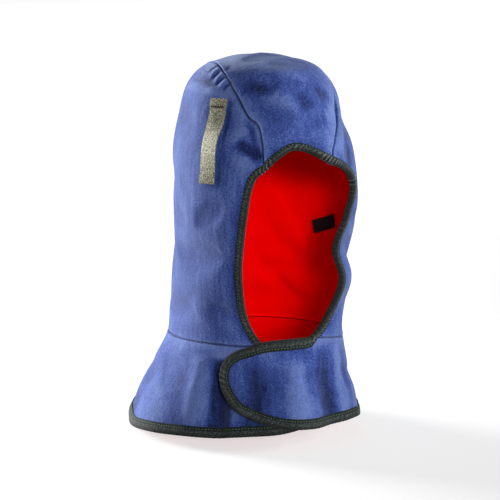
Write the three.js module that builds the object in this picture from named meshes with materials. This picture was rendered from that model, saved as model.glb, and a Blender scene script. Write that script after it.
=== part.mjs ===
// Hard hat winter liner: a hood of three cloth panels over a fleece lining, with a flared bib that laps over
// itself at the throat, a bound edge all round, two webbing straps, a hook patch and the closure tape.
// Millimetres, +Z up. The front is -Y, the wearer's right is -X, and the head's crown touches the origin.
import * as THREE from 'three';

// Layers, as depths below the outer face of the cloth
const CLOTH = 1.2;
const LAYER_GAP = 0.3;
const FLEECE = 2.0;
const LINING_TOP = CLOTH + LAYER_GAP;
const STACK = LINING_TOP + FLEECE;
const SEAM_GAP = 0.4;

// Binding: a tape folded over the edge, as deep on each side as the first cells of the cloth
const BINDING_WALL = 0.9;
const BINDING_CLEAR_OUT = 0.5;
const BINDING_CLEAR_IN = 0.9;

// Sections of the worn shape, level with the ground, from the hem up to the neck seam
// Columns: height, half breadth, half length, centre x, centre y
const BIB_SECTIONS = [
  [-395, 122, 139, -9, 42],
  [-360, 110.5, 128, -6.3, 38],
  [-330, 98.5, 116.5, -4, 33.5],
  [-308, 91.5, 109.5, -1.5, 29.5],
  [-294, 88, 106, 0, 28],
];
// The hood, from the neck seam up to the crown, with the same columns
const HOOD_SECTIONS = [
  [-294, 88, 106, 0, 28],
  [-262, 87, 104.5, 0, 24],
  [-230, 89.5, 107.5, 0, 11],
  [-185, 90.2, 108.3, 0, 3],
  [-140, 91.8, 110.1, 0, 0],
  [-95, 89.8, 107.7, 0, 5.6],
  [-60, 81.7, 98.1, 0, 10.7],
  [-35, 75.1, 90.1, 0, 11.8],
  [-18, 65.2, 78.3, 0, 12],
  [-8, 53.5, 64.2, 0, 10],
  [-0.5, 28.1, 33.7, 0, 10.5],
  [STACK, 0, 0, 0, 11],
];
// The head's own axis, from which cut lines are pushed out onto the worn shape
const AXIS_Y = 10;
const AXIS_TOP = -150;

// Neck seam: it sits a little higher at the throat than at the nape, and rises to the left face edge
const NECK_MID = -293.5;
const NECK_TILT = 3.5;
const NECK_RISE = 7;
const NECK_RISE_ANGLES = [8, 50];
const NECK_RIGHT_ANGLE = -24.5;
const NECK_LEFT_ANGLE = 8;
const NAPE_ANGLE = 162;

// Cut lines of the hood. The two crown seams, from the brow to the point where they turn down. Columns: x, y, z
const CROWN_SEAM_LEFT = [
  [29, -93, -101],
  [33, -90, -88],
  [40, -83, -77],
  [50, -69, -62],
  [54.5, -59, -49],
  [56, -50, -37],
  [55, -18, -13],
  [47, 22, -5],
  [40, 60, -12],
  [34, 92, -38],
];
const CROWN_SEAM_RIGHT = [
  [-43, -88, -106],
  [-42.5, -82, -78],
  [-43.5, -74, -61],
  [-49, -65, -54.5],
  [-53, -54, -41],
  [-55, -18, -13],
  [-47, 22, -5],
  [-40, 60, -12],
  [-34, 92, -38],
];
// The left seam from the neck up the back of the head, with the same columns. The right one mirrors it there
const CROWN_SEAM_BACK = [
  [27.2, 128.8, -296.8],
  [27, 124, -240],
  [28, 111, -180],
  [29, 108, -120],
  [31, 104, -72],
  [34, 92, -38],
];
// Brow edge from the right corner to the left one. Columns: x, height
const BROW = [
  [-43, -105],
  [-28, -92.5],
  [-14, -85.5],
  [3, -89.5],
  [17, -96.8],
  [29, -102.8],
];
// Face edges from the neck up to the brow, with the same columns
const RIGHT_RIM = [
  [-36.5, -290.3],
  [-45, -277],
  [-52, -260],
  [-59.5, -234],
  [-62.5, -207],
  [-62, -176],
  [-60.5, -150],
  [-57.5, -129],
  [-52, -113],
  [-43, -105],
];
const LEFT_RIM = [
  [12.2, -283],
  [19, -277],
  [26.5, -269.5],
  [39.5, -254],
  [48.5, -234],
  [51.5, -218],
  [50.5, -198],
  [47, -176],
  [52.5, -160],
  [60.5, -144],
  [67.5, -131.5],
  [61, -120],
  [43, -109],
  [29, -102.8],
];

// Bib cut: angles go round from the front to the wearer's left. Columns: angle, height
const HEM = [
  [8, -375],
  [35, -374.5],
  [62, -378],
  [100, -380],
  [140, -384],
  [180, -388],
  [230, -391],
  [265, -390],
  [300, -384],
  [335.5, -379],
];
const OVERLAP_TOP = [
  [8, -283],
  [-8, -283.5],
  [-24, -286],
  [-37, -295],
];
const OVERLAP_END = [
  [-37, -295],
  [-44, -305],
  [-45.3, -319.5],
  [-41.5, -337.5],
  [-33, -355],
];
const OVERLAP_BOTTOM = [
  [8, -375],
  [-6, -373],
  [-21, -365],
  [-33, -355],
];
const UNDERLAP_TOP = [
  [335.5, -290.3],
  [354, -290.5],
  [372, -293],
  [386, -300],
];
const UNDERLAP_END = [
  [386, -300],
  [394, -313],
  [395, -331],
  [386, -350],
];
const UNDERLAP_BOTTOM = [
  [335.5, -379],
  [350, -378],
  [362, -374],
  [374, -366],
  [386, -350],
];

// The overlap rides over the underlap and the closure tape, and so does the left cheek above it
const LAP_LIFT = 7.8;
const LAP_FULL_ANGLE = 36;
const LAP_NONE_ANGLE = 70;
const LAP_NONE_HEIGHT = -222;
const LAP_FULL_HEIGHT = -282;

// Hollows (negative) and swells of the hood. Columns: x, y, z, reach sideways, reach in height, rise
const HOLLOWS = [
  [46, -84, -196, 42, 22, -10],
  [88, -32, -202, 30, 17, -2],
  [60, -78, -226, 30, 16, 3],
  [-86, -24, -200, 34, 18, -3.5],
  [-88, 30, -262, 40, 16, -3],
  [84, 42, -252, 44, 18, -3.5],
  [0, 118, -255, 60, 16, -4],
  [79, -19, -276, 34, 15, -4.5],
];
// Flutes of the bib. Columns: angle, half width in degrees, rise at the hem
const FLUTES = [
  [-28, 11, -5],
  [4, 14, 3.5],
  [21, 8, -3.5],
  [40, 9, 4],
  [66, 15, 4],
  [104, 18, -5],
  [140, 18, 5],
  [176, 18, -5],
  [212, 18, 5],
  [246, 16, -4],
  [276, 16, 4],
  [315, 11, -8],
];
const FLUTE_TOP = -300;
const FLUTE_BOTTOM = -381;

// Cells of the cloth grids
const SIDE_CELLS = 14;
const SIDE_RISE_CELLS = 18;
const CROWN_CELLS = 8;
const BIB_CELLS = 5;
const FLAP_CELLS = 5;
// Share of a line that the binding covers: 12 mm of a side panel, of the bib's height and of a flap
const SIDE_BOUND = 0.05;
const BIB_BOUND = 0.136;
const FLAP_BOUND = 0.125;
// On a face edge the binding runs square to the edge, except near the ends, where it turns with the seams
const FACE_BOUND = 12;
const FACE_TURN_SHARE = 0.44;
const EVEN_ROUNDS = 60;
const EVEN_FULL_COLUMN = 7;

// Straps: webbing sewn down at both ends, given for the wearer's right
const STRAP_WIDTH = 20;
const STRAP_THICK = 1.6;
const STRAP_TOP = [-66, -34, -37];
const STRAP_BOTTOM = [-84, -43, -122];
const STRAP_CLEAR = 0.6;
const STRAP_BOW = 2;
const STRAP_CELLS = 10;
const LEFT_STRAP_BACK = 60;

// Hook patch on the fleece of the left cheek
const PATCH_CENTRE = [87.5, 27, -184];
const PATCH_LENGTH = 40;
const PATCH_HEIGHT = 14.5;
const PATCH_DROP = 11;
const PATCH_CLEAR = 0.45;
const PATCH_THICK = 1.5;
const PATCH_CELLS = 4;

// Closure tape between the flaps
const TAPE_ANGLES = [-20, 10];
const TAPE_HEIGHTS = [-345, -310];
const TAPE_THICK = 2.4;
const TAPE_CLEAR = 0.6;
const TAPE_ANGLE_CELLS = 6;
const TAPE_HEIGHT_CELLS = 3;

const MATERIALS = {
  twill: new THREE.MeshStandardMaterial({ color: 0x3c4878, roughness: 0.9, metalness: 0 }),
  fleece: new THREE.MeshStandardMaterial({ color: 0xc40a12, roughness: 0.95, metalness: 0 }),
  binding: new THREE.MeshStandardMaterial({ color: 0x343c3b, roughness: 0.85, metalness: 0 }),
  webbing: new THREE.MeshStandardMaterial({ color: 0x8f8b70, roughness: 0.85, metalness: 0 }),
  hook: new THREE.MeshStandardMaterial({ color: 0x141416, roughness: 0.8, metalness: 0 }),
};

const { clamp, degToRad, lerp, radToDeg, smoothstep } = THREE.MathUtils;

// A smooth row between the rows of a table: t counts rows, and every column is carried along
function splineRow(rows, t) {
  const last = rows.length - 1;
  const i = Math.min(Math.floor(t), last - 1);
  const f = t - i;
  const [a, b, c, d] = [i - 1, i, i + 1, i + 2].map((k) => rows[clamp(k, 0, last)]);
  return b.map((value, k) => {
    const slopeIn = (c[k] - a[k]) / 2;
    const slopeOut = (d[k] - value) / 2;
    const rise = c[k] - value;
    const cubic = slopeIn + slopeOut - 2 * rise;
    const square = rise - slopeIn - cubic;
    return value + f * (slopeIn + f * (square + f * cubic));
  });
}

function denseRows(rows, perRow = 12) {
  const count = (rows.length - 1) * perRow;
  return Array.from({ length: count + 1 }, (_, k) => splineRow(rows, k / perRow));
}

const FORM = [...denseRows(BIB_SECTIONS), ...denseRows(HOOD_SECTIONS)];
const CROWN_TOP = FORM.at(-1)[0];

function sectionAt(z) {
  const k = FORM.findIndex((row) => row[0] >= z);
  if (k <= 0) return FORM.at(k);
  const [low, high] = [FORM[k - 1], FORM[k]];
  const f = (z - low[0]) / Math.max(high[0] - low[0], 1e-9);
  return low.map((value, column) => lerp(value, high[column], f));
}

// Below 1 inside the worn shape, 1 on it, and above 1 outside
function level(p) {
  if (p.z >= CROWN_TOP) return 2 + p.z - CROWN_TOP;
  const [, breadth, length, x, y] = sectionAt(p.z);
  return Math.hypot((p.x - x) / Math.max(breadth, 1e-3), (p.y - y) / Math.max(length, 1e-3));
}

// Carries a guide point straight out from the head's axis onto the worn shape
function ontoForm(guide) {
  const root = new THREE.Vector3(0, AXIS_Y, Math.min(guide.z, AXIS_TOP));
  const way = guide.clone().sub(root).normalize();
  let near = 0;
  let far = 300;
  for (let step = 0; step < 40; step += 1) {
    const middle = (near + far) / 2;
    if (level(root.clone().addScaledVector(way, middle)) < 1) near = middle;
    else far = middle;
  }
  return root.addScaledVector(way, near);
}

function normalAt(p) {
  const step = 1.5;
  const slope = (x, y, z) => {
    const side = new THREE.Vector3(x, y, z).multiplyScalar(step);
    return level(p.clone().add(side)) - level(p.clone().sub(side));
  };
  return new THREE.Vector3(slope(1, 0, 0), slope(0, 1, 0), slope(0, 0, 1)).normalize();
}

// Angles go round the section's centre: 0 at the front, 90 at the wearer's left
function ringPoint(angle, z) {
  const [, breadth, length, x, y] = sectionAt(z);
  const turn = degToRad(angle);
  return new THREE.Vector3(x + breadth * Math.sin(turn), y - length * Math.cos(turn), z);
}

function angleOf(p) {
  const [, breadth, length, x, y] = sectionAt(p.z);
  return radToDeg(Math.atan2((p.x - x) / breadth, (y - p.y) / length));
}

function frontPoint(x, z) {
  const [, breadth, length, centreX, centreY] = sectionAt(z);
  const across = (x - centreX) / breadth;
  return new THREE.Vector3(x, centreY - length * Math.sqrt(1 - across * across), z);
}

function neckHeight(angle) {
  const rise = NECK_RISE * (1 - smoothstep(angle, ...NECK_RISE_ANGLES));
  return NECK_MID + NECK_TILT * Math.cos(degToRad(angle)) + rise;
}

// Height of the worn surface over the plain form: hollows of the hood and flutes of the bib
function relief(p) {
  let rise = 0;
  for (const [x, y, z, sideways, upward, depth] of HOLLOWS) {
    const across = Math.hypot(p.x - x, p.y - y) / sideways;
    const along = (p.z - z) / upward;
    rise += depth * Math.exp(-across * across - along * along);
  }
  const drop = smoothstep(-p.z, -FLUTE_TOP, -FLUTE_BOTTOM);
  if (drop === 0) return rise;
  const angle = angleOf(p);
  for (const [place, width, depth] of FLUTES) {
    const away = (((angle - place + 540) % 360) - 180) / width;
    rise += depth * drop * Math.exp(-away * away);
  }
  return rise;
}

function lapLift(p) {
  const angle = angleOf(p);
  const round = 1 - smoothstep(angle, LAP_FULL_ANGLE, LAP_NONE_ANGLE);
  return LAP_LIFT * round * smoothstep(-p.z, -LAP_NONE_HEIGHT, -LAP_FULL_HEIGHT);
}

// A place on the cloth: its point on the form, its outward direction and the cloth's height above the form
function clothPlace(point, onOverlap) {
  const rise = relief(point) + (onOverlap ? lapLift(point) : 0);
  return { point, rise, out: normalAt(point) };
}

function layerPoint(place, depth) {
  return place.point.clone().addScaledVector(place.out, place.rise - depth);
}

// Shares of a line's length: even cells, with the first and last cells given where a binding lies on them
function shares(cells, first = 1 / cells, last = 1 / cells) {
  const even = (1 - first - last) / (cells - 2);
  return Array.from({ length: cells + 1 }, (_, k) => {
    if (k === 0) return 0;
    return k === cells ? 1 : first + even * (k - 1);
  });
}

function smoothLine(points, places) {
  const curve = new THREE.CatmullRomCurve3(points, false, 'centripetal');
  return places.map((share) => curve.getPointAt(share));
}

const cutLine = (points, places) => smoothLine(points, places).map(ontoForm);
const flatLine = (rows, places) =>
  smoothLine(rows.map(([angle, height]) => new THREE.Vector3(angle, height, 0)), places);

// Fills the field between four lines that meet at their ends: low and high run across, start and end run up
function fillField(low, high, start, end, acrossShares, upShares) {
  const across = low.length - 1;
  return upShares.map((v, j) => acrossShares.map((u, i) => {
    const rows = low[i].clone().lerp(high[i], v);
    const columns = start[j].clone().lerp(end[j], u);
    const bottom = low[0].clone().lerp(low[across], u);
    const top = high[0].clone().lerp(high[across], u);
    return rows.add(columns).sub(bottom.lerp(top, v));
  }));
}

// Draws the border of a field in by half a seam gap, so that neighbours stay apart
function trimBorder(field) {
  const rows = field.length - 1;
  const columns = field[0].length - 1;
  return field.map((row, j) => row.map((point, i) => {
    const moved = point.clone();
    const inner = [[clamp(j, 1, rows - 1), i], [j, clamp(i, 1, columns - 1)]];
    for (const [innerRow, innerColumn] of inner) {
      const way = field[innerRow][innerColumn].clone().sub(point);
      if (way.length() > 0) moved.addScaledVector(way.normalize(), SEAM_GAP / 2);
    }
    return moved;
  }));
}

function clothField(points, isOverlap) {
  return trimBorder(points).map((row, j) => row.map((point, i) => clothPlace(point, isOverlap(i, j))));
}

function isInsideOut(positions, faces) {
  let volume = 0;
  for (const [a, b, c] of faces) {
    volume += positions[a].dot(positions[b].clone().cross(positions[c]));
  }
  return volume < 0;
}

function solidGeometry(positions, faces) {
  const outward = isInsideOut(positions, faces) ? faces.map(([a, b, c]) => [a, c, b]) : faces;
  const geometry = new THREE.BufferGeometry().setFromPoints(positions);
  geometry.setIndex(outward.flat());
  geometry.computeVertexNormals();
  return geometry;
}

function quad(a, b, c, d) {
  return [[a, b, c], [a, c, d]];
}

// A closed sheet between two depths of a field of cloth places
function sheetGeometry(field, topDepth, bottomDepth) {
  const rows = field.length;
  const columns = field[0].length;
  const places = field.flat();
  const count = places.length;
  const layer = (depth) => places.map((place) => layerPoint(place, depth));
  const positions = [...layer(topDepth), ...layer(bottomDepth)];
  const index = (j, i) => j * columns + i;
  const faces = [];
  for (let j = 0; j < rows - 1; j += 1) {
    for (let i = 0; i < columns - 1; i += 1) {
      for (const [a, b, c] of quad(index(j, i), index(j, i + 1), index(j + 1, i + 1), index(j + 1, i))) {
        faces.push([a, b, c], [a + count, c + count, b + count]);
      }
    }
  }
  const border = borderOf(rows, columns).map(([j, i]) => index(j, i));
  border.forEach((here, k) => {
    const next = border[(k + 1) % border.length];
    faces.push(...quad(here, here + count, next + count, next));
  });
  return solidGeometry(positions, faces);
}

// Rows and columns of a field's border, once round
function borderOf(rows, columns) {
  const low = Array.from({ length: columns - 1 }, (_, i) => [0, i]);
  const end = Array.from({ length: rows - 1 }, (_, j) => [j, columns - 1]);
  const high = Array.from({ length: columns - 1 }, (_, i) => [rows - 1, columns - 1 - i]);
  const start = Array.from({ length: rows - 1 }, (_, j) => [rows - 1 - j, 0]);
  return [...low, ...end, ...high, ...start];
}

// A closed ring of like sections, each a closed line of points. Points that neighbours share are joined,
// and a mirrored section splits its cells the other way, as the cloth below it does
function ringGeometry(sections) {
  const size = sections[0].points.length;
  const positions = sections.flatMap(({ points }) => points);
  const firstAlike = positions.map((point) => positions.findIndex((other) => other.distanceTo(point) < 1e-6));
  const faces = [];
  sections.forEach(({ mirrored }, s) => {
    const next = (s + 1) % sections.length;
    for (let k = 0; k < size; k += 1) {
      const after = (k + 1) % size;
      const [a, b, c, d] = [s * size + k, s * size + after, next * size + after, next * size + k];
      faces.push(...(mirrored ? quad(b, c, d, a) : quad(a, b, c, d)));
    }
  });
  const joined = faces.map((face) => face.map((corner) => firstAlike[corner]));
  return solidGeometry(positions, joined.filter((face) => new Set(face).size === 3));
}

const SIDE_ACROSS = shares(SIDE_CELLS, SIDE_BOUND);
const SIDE_UP = shares(SIDE_RISE_CELLS);
const CROWN_ACROSS = shares(CROWN_CELLS);
const BIB_UP = shares(BIB_CELLS, BIB_BOUND, BIB_BOUND);
const FLAP_ACROSS = shares(FLAP_CELLS, undefined, FLAP_BOUND);

// Cut lines of the hood
const vectors = (rows, side = 1) => rows.map(([x, y, z]) => new THREE.Vector3(side * x, y, z));
const frontVectors = (rows) => rows.map(([x, z]) => frontPoint(x, z));
const neckAngles = (from, to, places) => places.map((share) => lerp(from, to, share));
const neckLine = (angles) => angles.map((angle) => ringPoint(angle, neckHeight(angle)));

const neckLeft = neckAngles(NECK_LEFT_ANGLE, NAPE_ANGLE, SIDE_ACROSS);
const neckNape = neckAngles(NAPE_ANGLE, 360 - NAPE_ANGLE, CROWN_ACROSS);
const neckRight = neckAngles(360 + NECK_RIGHT_ANGLE, 360 - NAPE_ANGLE, SIDE_ACROSS).reverse();

const crownSeamTop = (side) => cutLine(vectors(side > 0 ? CROWN_SEAM_LEFT : CROWN_SEAM_RIGHT), SIDE_ACROSS);

// A side panel runs across from the face edge to the back seam, and up from the neck to the crown seam
function sidePoints(side, rim, neck) {
  const seamTop = crownSeamTop(side);
  const seamBack = cutLine(vectors(CROWN_SEAM_BACK, side), SIDE_UP);
  const face = cutLine(frontVectors(rim), SIDE_UP);
  const low = neckLine(neck);
  [seamBack[0], face[0]] = [low[SIDE_CELLS], low[0]];
  face[SIDE_RISE_CELLS] = seamTop[0];
  const field = fillField(low, seamTop, face, seamBack, SIDE_ACROSS, SIDE_UP).map((row) => row.map(ontoForm));
  return evenField(squareColumn(field, side));
}

// Lays the second column square to the face edge, as far in as the binding reaches
function squareColumn(field, side) {
  const last = field.length - 1;
  const firstCell = (j) => field[j][1].clone().sub(field[j][0]).normalize();
  return field.map((row, j) => {
    if (j === 0 || j === last) return row;
    const along = field[j + 1][0].clone().sub(field[j - 1][0]);
    const square = along.cross(normalAt(row[0])).setLength(side);
    const low = 1 - smoothstep(SIDE_UP[j], 0, FACE_TURN_SHARE);
    const high = smoothstep(SIDE_UP[j], 1 - FACE_TURN_SHARE, 1);
    const way = square.lerp(firstCell(0), low).lerp(firstCell(last), high).setLength(FACE_BOUND);
    return [row[0], ontoForm(way.add(row[0])), ...row.slice(2)];
  });
}

// Evens out the cells between the second column and the seams. Near the face edge only the rows are evened, so
// that the columns keep the bends of the edge
function evenField(field) {
  const even = field.map((row) => [...row]);
  for (let round = 0; round < EVEN_ROUNDS; round += 1) {
    for (let j = 1; j < even.length - 1; j += 1) {
      for (let i = 2; i < even[j].length - 1; i += 1) {
        const inRow = even[j][i - 1].clone().lerp(even[j][i + 1], 0.5);
        const inColumn = even[j - 1][i].clone().lerp(even[j + 1][i], 0.5);
        even[j][i] = ontoForm(inRow.lerp(inColumn, smoothstep(i, 1, EVEN_FULL_COLUMN) / 2));
      }
    }
  }
  return even;
}

// The crown panel runs across from the right seam to the left one, and over the head from brow to nape
function crownPoints() {
  const seam = (side) => {
    const top = crownSeamTop(side);
    const back = cutLine(vectors(CROWN_SEAM_BACK, side), SIDE_UP).reverse();
    back[SIDE_RISE_CELLS] = ringPoint(side * NAPE_ANGLE, neckHeight(NAPE_ANGLE));
    return [...top, ...back.slice(1)];
  };
  const [right, left] = [seam(-1), seam(1)];
  const brow = cutLine(frontVectors(BROW), CROWN_ACROSS);
  const nape = neckLine(neckNape).reverse();
  [brow[0], brow[CROWN_CELLS]] = [right[0], left[0]];
  const upward = right.map((_, j) => j / (right.length - 1));
  return fillField(brow, nape, right, left, CROWN_ACROSS, upward).map((row) => row.map(ontoForm));
}

// The bib is laid out flat as angle and height, then carried onto the form. It runs from the overlap's end
// round the back to the underlap's end, and up from the hem to the neck
function bibPoints() {
  const upright = (angle, low, high) =>
    BIB_UP.map((share) => new THREE.Vector3(angle, lerp(low, high, share), 0));
  const flap = (top, bottom, end) => {
    const join = upright(top[0][0], bottom[0][1], top[0][1]);
    const tip = flatLine([...end].reverse(), BIB_UP);
    const [low, high] = [bottom, top].map((rows) => flatLine(rows, FLAP_ACROSS));
    return fillField(low, high, join, tip, FLAP_ACROSS, BIB_UP);
  };
  const hemAt = (angle) => {
    const row = HEM.findIndex(([place]) => place >= angle - 1e-6);
    const before = HEM[Math.max(row - 1, 0)][0];
    const f = row === 0 ? 0 : (angle - before) / (HEM[row][0] - before);
    return splineRow(HEM, Math.max(row - 1, 0) + Math.min(f, 1))[1];
  };
  const overlap = flap(OVERLAP_TOP, OVERLAP_BOTTOM, OVERLAP_END).map((row) => row.reverse());
  const underlap = flap(UNDERLAP_TOP, UNDERLAP_BOTTOM, UNDERLAP_END);
  const angles = [...neckLeft.slice(1), ...neckNape.slice(1), ...neckRight.slice(1, -1)];
  const around = angles.map((angle) => upright(angle, hemAt(angle), neckHeight(angle)));
  return overlap.map((row, j) => {
    const flat = [...row, ...around.map((column) => column[j]), ...underlap[j]];
    return flat.map(({ x: angle, y: height }) => ringPoint(angle, height));
  });
}

const BIB_LEFT_COLUMNS = FLAP_CELLS + SIDE_CELLS + CROWN_CELLS / 2;
const never = () => false;
const always = () => true;
const fields = {
  crown: clothField(crownPoints(), never),
  side_right: clothField(sidePoints(-1, RIGHT_RIM, [...neckRight].reverse()), never),
  side_left: clothField(sidePoints(1, LEFT_RIM, neckLeft), always),
  bib: clothField(bibPoints(), (i) => i < BIB_LEFT_COLUMNS),
};

// The raw edge once round: brow, right face edge, underlap, hem, overlap and left face edge.
// Each station has a place on the edge and a place one cell in, where the binding ends
function rawEdge() {
  const { crown, side_right: right, side_left: left, bib } = fields;
  const top = bib.length - 1;
  const end = bib[0].length - 1;
  const count = (from, to) => {
    const step = Math.sign(to - from);
    return Array.from({ length: Math.abs(to - from) + 1 }, (_, k) => from + step * k);
  };
  const station = (field, j, i, inJ, inI, mirrored = false) =>
    ({ edge: field[j][i], inner: field[inJ][inI], mirrored });
  const bibStation = (j, i, mirrored) =>
    station(bib, j, i, clamp(j, 1, top - 1), clamp(i, 1, end - 1), mirrored);
  return [
    ...count(CROWN_CELLS, 0).map((i) => station(crown, 0, i, 1, i)),
    ...count(SIDE_RISE_CELLS - 1, 0).map((j) => station(right, j, 0, j, 1)),
    ...count(end - FLAP_CELLS, end).map((i) => bibStation(top, i)),
    ...count(top - 1, 0).map((j) => bibStation(j, end, true)),
    ...count(end - 1, 0).map((i) => bibStation(0, i)),
    ...count(1, top).map((j) => bibStation(j, 0, true)),
    ...count(1, FLAP_CELLS).map((i) => bibStation(top, i)),
    ...count(0, SIDE_RISE_CELLS - 1).map((j) => station(left, j, 0, j, 1, true)),
  ];
}

// The binding's section at a station: two legs on the cloth, joined by a wall just past the edge
function bindingSection({ edge, inner, mirrored }) {
  const outside = -BINDING_CLEAR_OUT;
  const inside = STACK + BINDING_CLEAR_IN;
  const past = (distance, depth) => {
    const rim = layerPoint(edge, depth);
    const way = rim.clone().sub(layerPoint(inner, depth)).normalize();
    return rim.addScaledVector(way, distance);
  };
  const points = [
    layerPoint(inner, outside - BINDING_WALL),
    layerPoint(inner, outside),
    past(BINDING_CLEAR_OUT, outside),
    past(BINDING_CLEAR_OUT, inside),
    layerPoint(inner, inside),
    layerPoint(inner, inside + BINDING_WALL),
    past(BINDING_CLEAR_OUT + BINDING_WALL, inside + BINDING_WALL),
    past(BINDING_CLEAR_OUT + BINDING_WALL, outside - BINDING_WALL),
  ];
  return { points, mirrored };
}

// A small field of cloth places between two ends, with a given width across
function bandField(from, to, width, lengthCells, widthCells) {
  const run = to.clone().sub(from);
  return Array.from({ length: lengthCells + 1 }, (_, k) => {
    const centre = from.clone().addScaledVector(run, k / lengthCells);
    const across = run.clone().cross(normalAt(ontoForm(centre))).setLength(width / 2);
    return Array.from({ length: widthCells + 1 }, (__, i) => {
      const place = centre.clone().addScaledVector(across, (2 * i) / widthCells - 1);
      return clothPlace(ontoForm(place), false);
    });
  });
}

function strapGeometry(side, back) {
  const ends = vectors([STRAP_TOP, STRAP_BOTTOM], -side).map((end) => ontoForm(end.setY(end.y + back)));
  const [top, bottom] = ends;
  const field = bandField(top, bottom, STRAP_WIDTH, STRAP_CELLS, 2);
  field.forEach((row, k) => row.forEach((place) => {
    place.rise += STRAP_BOW * Math.sin((Math.PI * k) / STRAP_CELLS) ** 2;
  }));
  return sheetGeometry(field, -STRAP_CLEAR - STRAP_THICK, -STRAP_CLEAR);
}

function patchGeometry() {
  const centre = new THREE.Vector3(...PATCH_CENTRE);
  const run = Math.sqrt(PATCH_LENGTH ** 2 - PATCH_DROP ** 2) / 2;
  const backward = new THREE.Vector3(0, 0, 1).cross(normalAt(ontoForm(centre)));
  const half = backward.setLength(run).setZ(-PATCH_DROP / 2);
  const field = bandField(centre.clone().sub(half), centre.clone().add(half), PATCH_HEIGHT, PATCH_CELLS, 2);
  const top = STACK + PATCH_CLEAR;
  return sheetGeometry(field, top, top + PATCH_THICK);
}

function tapeGeometry() {
  const [right, left] = TAPE_ANGLES;
  const [low, high] = TAPE_HEIGHTS;
  const heights = shares(TAPE_HEIGHT_CELLS).map((share) => lerp(low, high, share));
  const angles = shares(TAPE_ANGLE_CELLS).map((share) => lerp(right, left, share));
  const field = heights.map((height) => angles.map((angle) => clothPlace(ringPoint(angle, height), false)));
  return sheetGeometry(field, -TAPE_CLEAR - TAPE_THICK, -TAPE_CLEAR);
}

const part = new THREE.Group();
function addPiece(name, geometry, material) {
  const mesh = new THREE.Mesh(geometry, material);
  mesh.name = name;
  part.add(mesh);
}

const SHEETS = [
  ['crown', 'crown_panel', 'lining_crown'],
  ['side_right', 'side_panel_right', 'lining_side_right'],
  ['side_left', 'side_panel_left', 'lining_side_left'],
  ['bib', 'bib_panel', 'bib_lining'],
];
for (const [field, shell, lining] of SHEETS) {
  addPiece(shell, sheetGeometry(fields[field], 0, CLOTH), MATERIALS.twill);
  addPiece(lining, sheetGeometry(fields[field], LINING_TOP, STACK), MATERIALS.fleece);
}
addPiece('edge_binding', ringGeometry(rawEdge().map(bindingSection)), MATERIALS.binding);
addPiece('strap_right', strapGeometry(-1, 0), MATERIALS.webbing);
addPiece('strap_left', strapGeometry(1, LEFT_STRAP_BACK), MATERIALS.webbing);
addPiece('mouthpiece_patch', patchGeometry(), MATERIALS.hook);
addPiece('closure_tape', tapeGeometry(), MATERIALS.hook);

export default part;
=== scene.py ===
# %% [markdown]
# A hard hat winter liner, dressed for its picture. The real one is a hood of washed navy twill over red
# fleece, with a flared bib that laps over itself at the throat, a bound edge, two webbing straps and a
# hook patch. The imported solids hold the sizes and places. Here each of them gets cloth that looks sewn
# and worn.

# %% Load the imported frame
import math

import bpy
import numpy as np
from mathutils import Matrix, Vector
from mathutils.bvhtree import BVHTree


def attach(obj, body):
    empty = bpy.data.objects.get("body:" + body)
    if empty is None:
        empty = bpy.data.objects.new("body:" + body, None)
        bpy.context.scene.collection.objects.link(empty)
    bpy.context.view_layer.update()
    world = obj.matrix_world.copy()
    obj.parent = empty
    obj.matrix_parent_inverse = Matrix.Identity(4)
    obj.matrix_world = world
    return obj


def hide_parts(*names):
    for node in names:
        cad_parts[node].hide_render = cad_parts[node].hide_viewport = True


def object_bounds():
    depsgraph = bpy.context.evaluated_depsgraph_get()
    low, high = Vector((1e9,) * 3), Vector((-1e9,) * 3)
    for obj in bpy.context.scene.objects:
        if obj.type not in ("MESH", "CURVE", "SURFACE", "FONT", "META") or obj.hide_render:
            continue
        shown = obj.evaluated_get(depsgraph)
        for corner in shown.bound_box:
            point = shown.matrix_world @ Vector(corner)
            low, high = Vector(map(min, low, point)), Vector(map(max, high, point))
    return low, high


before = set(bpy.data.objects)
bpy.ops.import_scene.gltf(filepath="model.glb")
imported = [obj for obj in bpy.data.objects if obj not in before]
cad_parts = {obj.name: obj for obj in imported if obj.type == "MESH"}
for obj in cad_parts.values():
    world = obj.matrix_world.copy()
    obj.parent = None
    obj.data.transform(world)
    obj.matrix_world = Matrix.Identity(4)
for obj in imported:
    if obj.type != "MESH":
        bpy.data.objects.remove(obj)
cad_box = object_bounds()
bpy.ops.object.select_all(action="DESELECT")
print("packed nodes:", len(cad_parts))

# %% [markdown]
# The hood keeps the shape of the head that wears it. That shape is given by level sections, each an oval
# with a centre of its own, and a smooth curve runs through them. The numbers are the ones the solids were
# made from, in millimetres, so that the cloth lands where the solids are.

# %% The worn shape
MM = 0.001
# Columns: height, half breadth, half length, centre x, centre y
BIB_SECTIONS = [
    (-395, 122, 139, -9, 42),
    (-360, 110.5, 128, -6.3, 38),
    (-330, 98.5, 116.5, -4, 33.5),
    (-308, 91.5, 109.5, -1.5, 29.5),
    (-294, 88, 106, 0, 28),
]
HOOD_SECTIONS = [
    (-294, 88, 106, 0, 28),
    (-262, 87, 104.5, 0, 24),
    (-230, 89.5, 107.5, 0, 11),
    (-185, 90.2, 108.3, 0, 3),
    (-140, 91.8, 110.1, 0, 0),
    (-95, 89.8, 107.7, 0, 5.6),
    (-60, 81.7, 98.1, 0, 10.7),
    (-35, 75.1, 90.1, 0, 11.8),
    (-18, 65.2, 78.3, 0, 12),
    (-8, 53.5, 64.2, 0, 10),
    (-0.5, 28.1, 33.7, 0, 10.5),
    (3.5, 0, 0, 0, 11),
]
ROWS_BETWEEN = 12


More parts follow.
